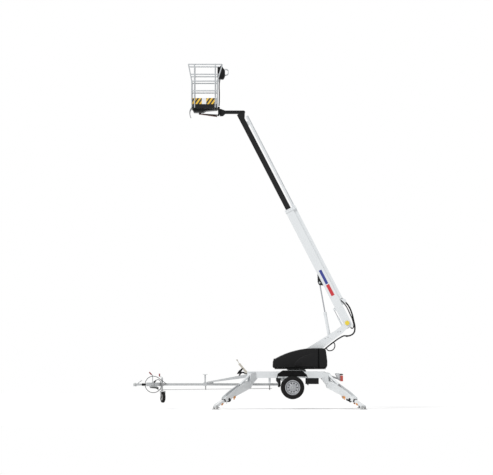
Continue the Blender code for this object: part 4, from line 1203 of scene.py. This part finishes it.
# %% Lift ram stem
LIFT_FOOT = Vector((2.237, 0, 1.974))
STEM_START = 0.741
STEM_END = 0.925
lift = (on_boom(LIFT_PIN_ALONG, LIFT_PIN_BACK) - LIFT_FOOT).normalized()
stem = rod(LIFT_FOOT + lift * STEM_START, LIFT_FOOT + lift * STEM_END, 0.0189, 24, 0)
settle(stem, "lift_rod_stem", polished, "lift_rod")
print("stem length:", round(STEM_END - STEM_START, 3))


# %% [markdown]
# The jockey wheel has a dished zinc disc and a small hub on each side. Grips are thick soft
# sleeves over the bare steel handles of the parking brake and the winder.

# %% Jockey wheel and grips
JOCKEY = Matrix.Translation((-2.445, -0.120, 0.325)) @ Matrix.Rotation(radians(-72), 4, "Z")
JOCKEY_OUT = 0.070
discs = []
for _, side in SIDES:
    start = (JOCKEY_OUT, side * 0.028, 0)
    discs.append(rod(start, (JOCKEY_OUT, side * 0.033, 0), 0.088, 40, 0.001))
    start = (JOCKEY_OUT, side * 0.030, 0)
    discs.append(rod(start, (JOCKEY_OUT, side * 0.042, 0), 0.034, 24, 0.002))
hub = merge(discs)
hub.data.transform(JOCKEY)
settle(hub, "jockey_hub", zinc_dull, "jockey_wheel")
grip = rod((-2.740, -0.060, 0.950), (-2.806, -0.060, 1.021), 0.019, 20, 0.004)
settle(grip, "brake_grip", red_grip, "chassis")
grip = rod((-2.519, -0.120, 0.905), (-2.519, -0.120, 0.982), 0.018, 20, 0.004)
settle(grip, "winder_grip", red_grip, "jockey_column")
print("towing gear dressed")


# %% [markdown]
# Each tail lamp sits in a folded zinc shell with a black hood over it. A shell is one outline
# pushed sideways about the lamp's middle, so both lamps share it.

# %% Tail lamps
LAMP_Y = 0.66
HOOD_HALF = 0.085
SHELL_HALF = 0.075
LAMP_SHELL = (
    (2.395, 0.978), (2.450, 0.992), (2.508, 0.990), (2.528, 0.940), (2.528, 0.790),
    (2.500, 0.790), (2.440, 0.885),
)
hoods = []
shells = []
for _, side in SIDES:
    y = side * LAMP_Y
    hoods.append(solid_box((2.510, y - HOOD_HALF, 0.945), (2.600, y + HOOD_HALF, 0.975), 0.006))
    shells.append(plate(LAMP_SHELL, y - SHELL_HALF, y + SHELL_HALF, 0.006))
settle(merge(hoods), "lamp_hoods", moulded, "chassis")
settle(merge(shells), "lamp_shells", zinc, "chassis")
print("tail lamps at y =", LAMP_Y)


# %% [markdown]
# The last black pieces under and on the frame are cut or moulded plates: the overrun lever
# below the coupling, the hangers of the axle, the shroud of the lever console, and the cover
# of the slewing drive.

# %% Black fittings on the chassis
OVERRUN_LEVER = (
    (-2.785, 0.599), (-2.600, 0.612), (-2.540, 0.590), (-2.556, 0.540), (-2.630, 0.565),
    (-2.785, 0.578),
)
HANGER = (
    (0.738, 0.8595), (0.868, 0.8595), (0.866, 0.640), (0.830, 0.600), (0.790, 0.610),
    (0.800, 0.700), (0.744, 0.775),
)
SHROUD = (
    (-0.362, 0.965), (-0.310, 1.055), (-0.225, 1.128), (-0.160, 1.140), (-0.205, 1.085),
    (-0.250, 0.985),
)
settle(plate(OVERRUN_LEVER, -0.024, 0.024, 0.004), "overrun_lever", satin, "chassis")
settle(merge(plate_pair(HANGER, 0.340, 0.366, 0.004)), "axle_hangers", satin, "chassis")
settle(plate(SHROUD, -0.250, -0.160, 0.012), "console_shroud", moulded, "chassis")
drive = solid_box((1.405, -0.110, 1.035), (1.575, 0.110, 1.080), 0.004)
settle(drive, "slew_drive", satin, "chassis")
print("chassis dressed")


# %% [markdown]
# The photograph was taken from far off, level with the trailer, so a long lens is used. The
# lens follows from the width that the frame has to show at the object's distance.

# %% Camera
FRAME_WIDTH = 13.80
CAMERA_FAR = 150.0
SENSOR = 36.0
TARGET = Vector((-0.087, 0.0, 4.790))
EYE = Vector((-0.087, -CAMERA_FAR, 1.600))

bpy.ops.object.select_all(action="DESELECT")
bpy.ops.object.camera_add(location=EYE)
camera = bpy.context.object
camera.rotation_euler = (TARGET - EYE).to_track_quat("-Z", "Y").to_euler()
camera.data.sensor_width = SENSOR
camera.data.lens = SENSOR * (TARGET - EYE).length / FRAME_WIDTH
camera.data.clip_end = 600
bpy.context.scene.camera = camera
print("lens:", round(camera.data.lens, 1))


# %% [markdown]
# The light is a pale sky and one soft sun, strong enough that white paint stays just below
# white. The sky is dimmer than it looks: Light Path shows it at full white to the camera and
# in metal, and at its real strength to everything that it lights.

# %% Sun and sky
SUN_STRENGTH = 1.7
SKY_STRENGTH = 0.65


def plain_view(tree):
    """1 where the camera sees a thing directly, in metal or through glass, and 0 elsewhere."""
    rays = node(tree, "ShaderNodeLightPath").outputs
    seen = math(tree, "MAXIMUM", rays["Is Camera Ray"], rays["Is Glossy Ray"])
    return math(tree, "MAXIMUM", seen, rays["Is Transmission Ray"])


bpy.ops.object.light_add(type="SUN", rotation=(radians(42), radians(-14), radians(-28)))
sun = bpy.context.object
sun.data.energy = SUN_STRENGTH
sun.data.angle = radians(14)

world = bpy.data.worlds.new("pale_sky")
bpy.context.scene.world = world
world.use_nodes = True
sky = world.node_tree
background = sky.nodes["Background"]
glow = math(sky, "MULTIPLY", plain_view(sky), 1 - SKY_STRENGTH)
sky.links.new(math(sky, "ADD", glow, SKY_STRENGTH), background.inputs["Strength"])
background.inputs["Color"].default_value = (1, 1, 1, 1)
print("sun:", SUN_STRENGTH, "sky:", SKY_STRENGTH)


# %% [markdown]
# The floor is a large pale sheet just under the feet. It is white to the camera and a little
# grey to the light that it bounces back, and it keeps the machine's shadow.

# %% Floor
bpy.ops.mesh.primitive_plane_add(size=90, location=(0, 10, -0.002))
floor = bpy.context.object
floor.name = "studio_floor"
made, tree, shader = new_finish("studio_floor", "white_paint")
patches = math(tree, "MULTIPLY", noise(tree, 0.8), 0.04)
shade = mix(tree, patches, (0.86, 0.86, 0.86), (0.80, 0.80, 0.80))
tree.links.new(mix(tree, plain_view(tree), shade, (1.0, 1.0, 1.0)), shader.inputs["Base Color"])
shader.inputs["Roughness"].default_value = 0.9
floor.data.materials.append(made)
bpy.context.scene.view_settings.view_transform = "Standard"
print("floor:", floor.name)
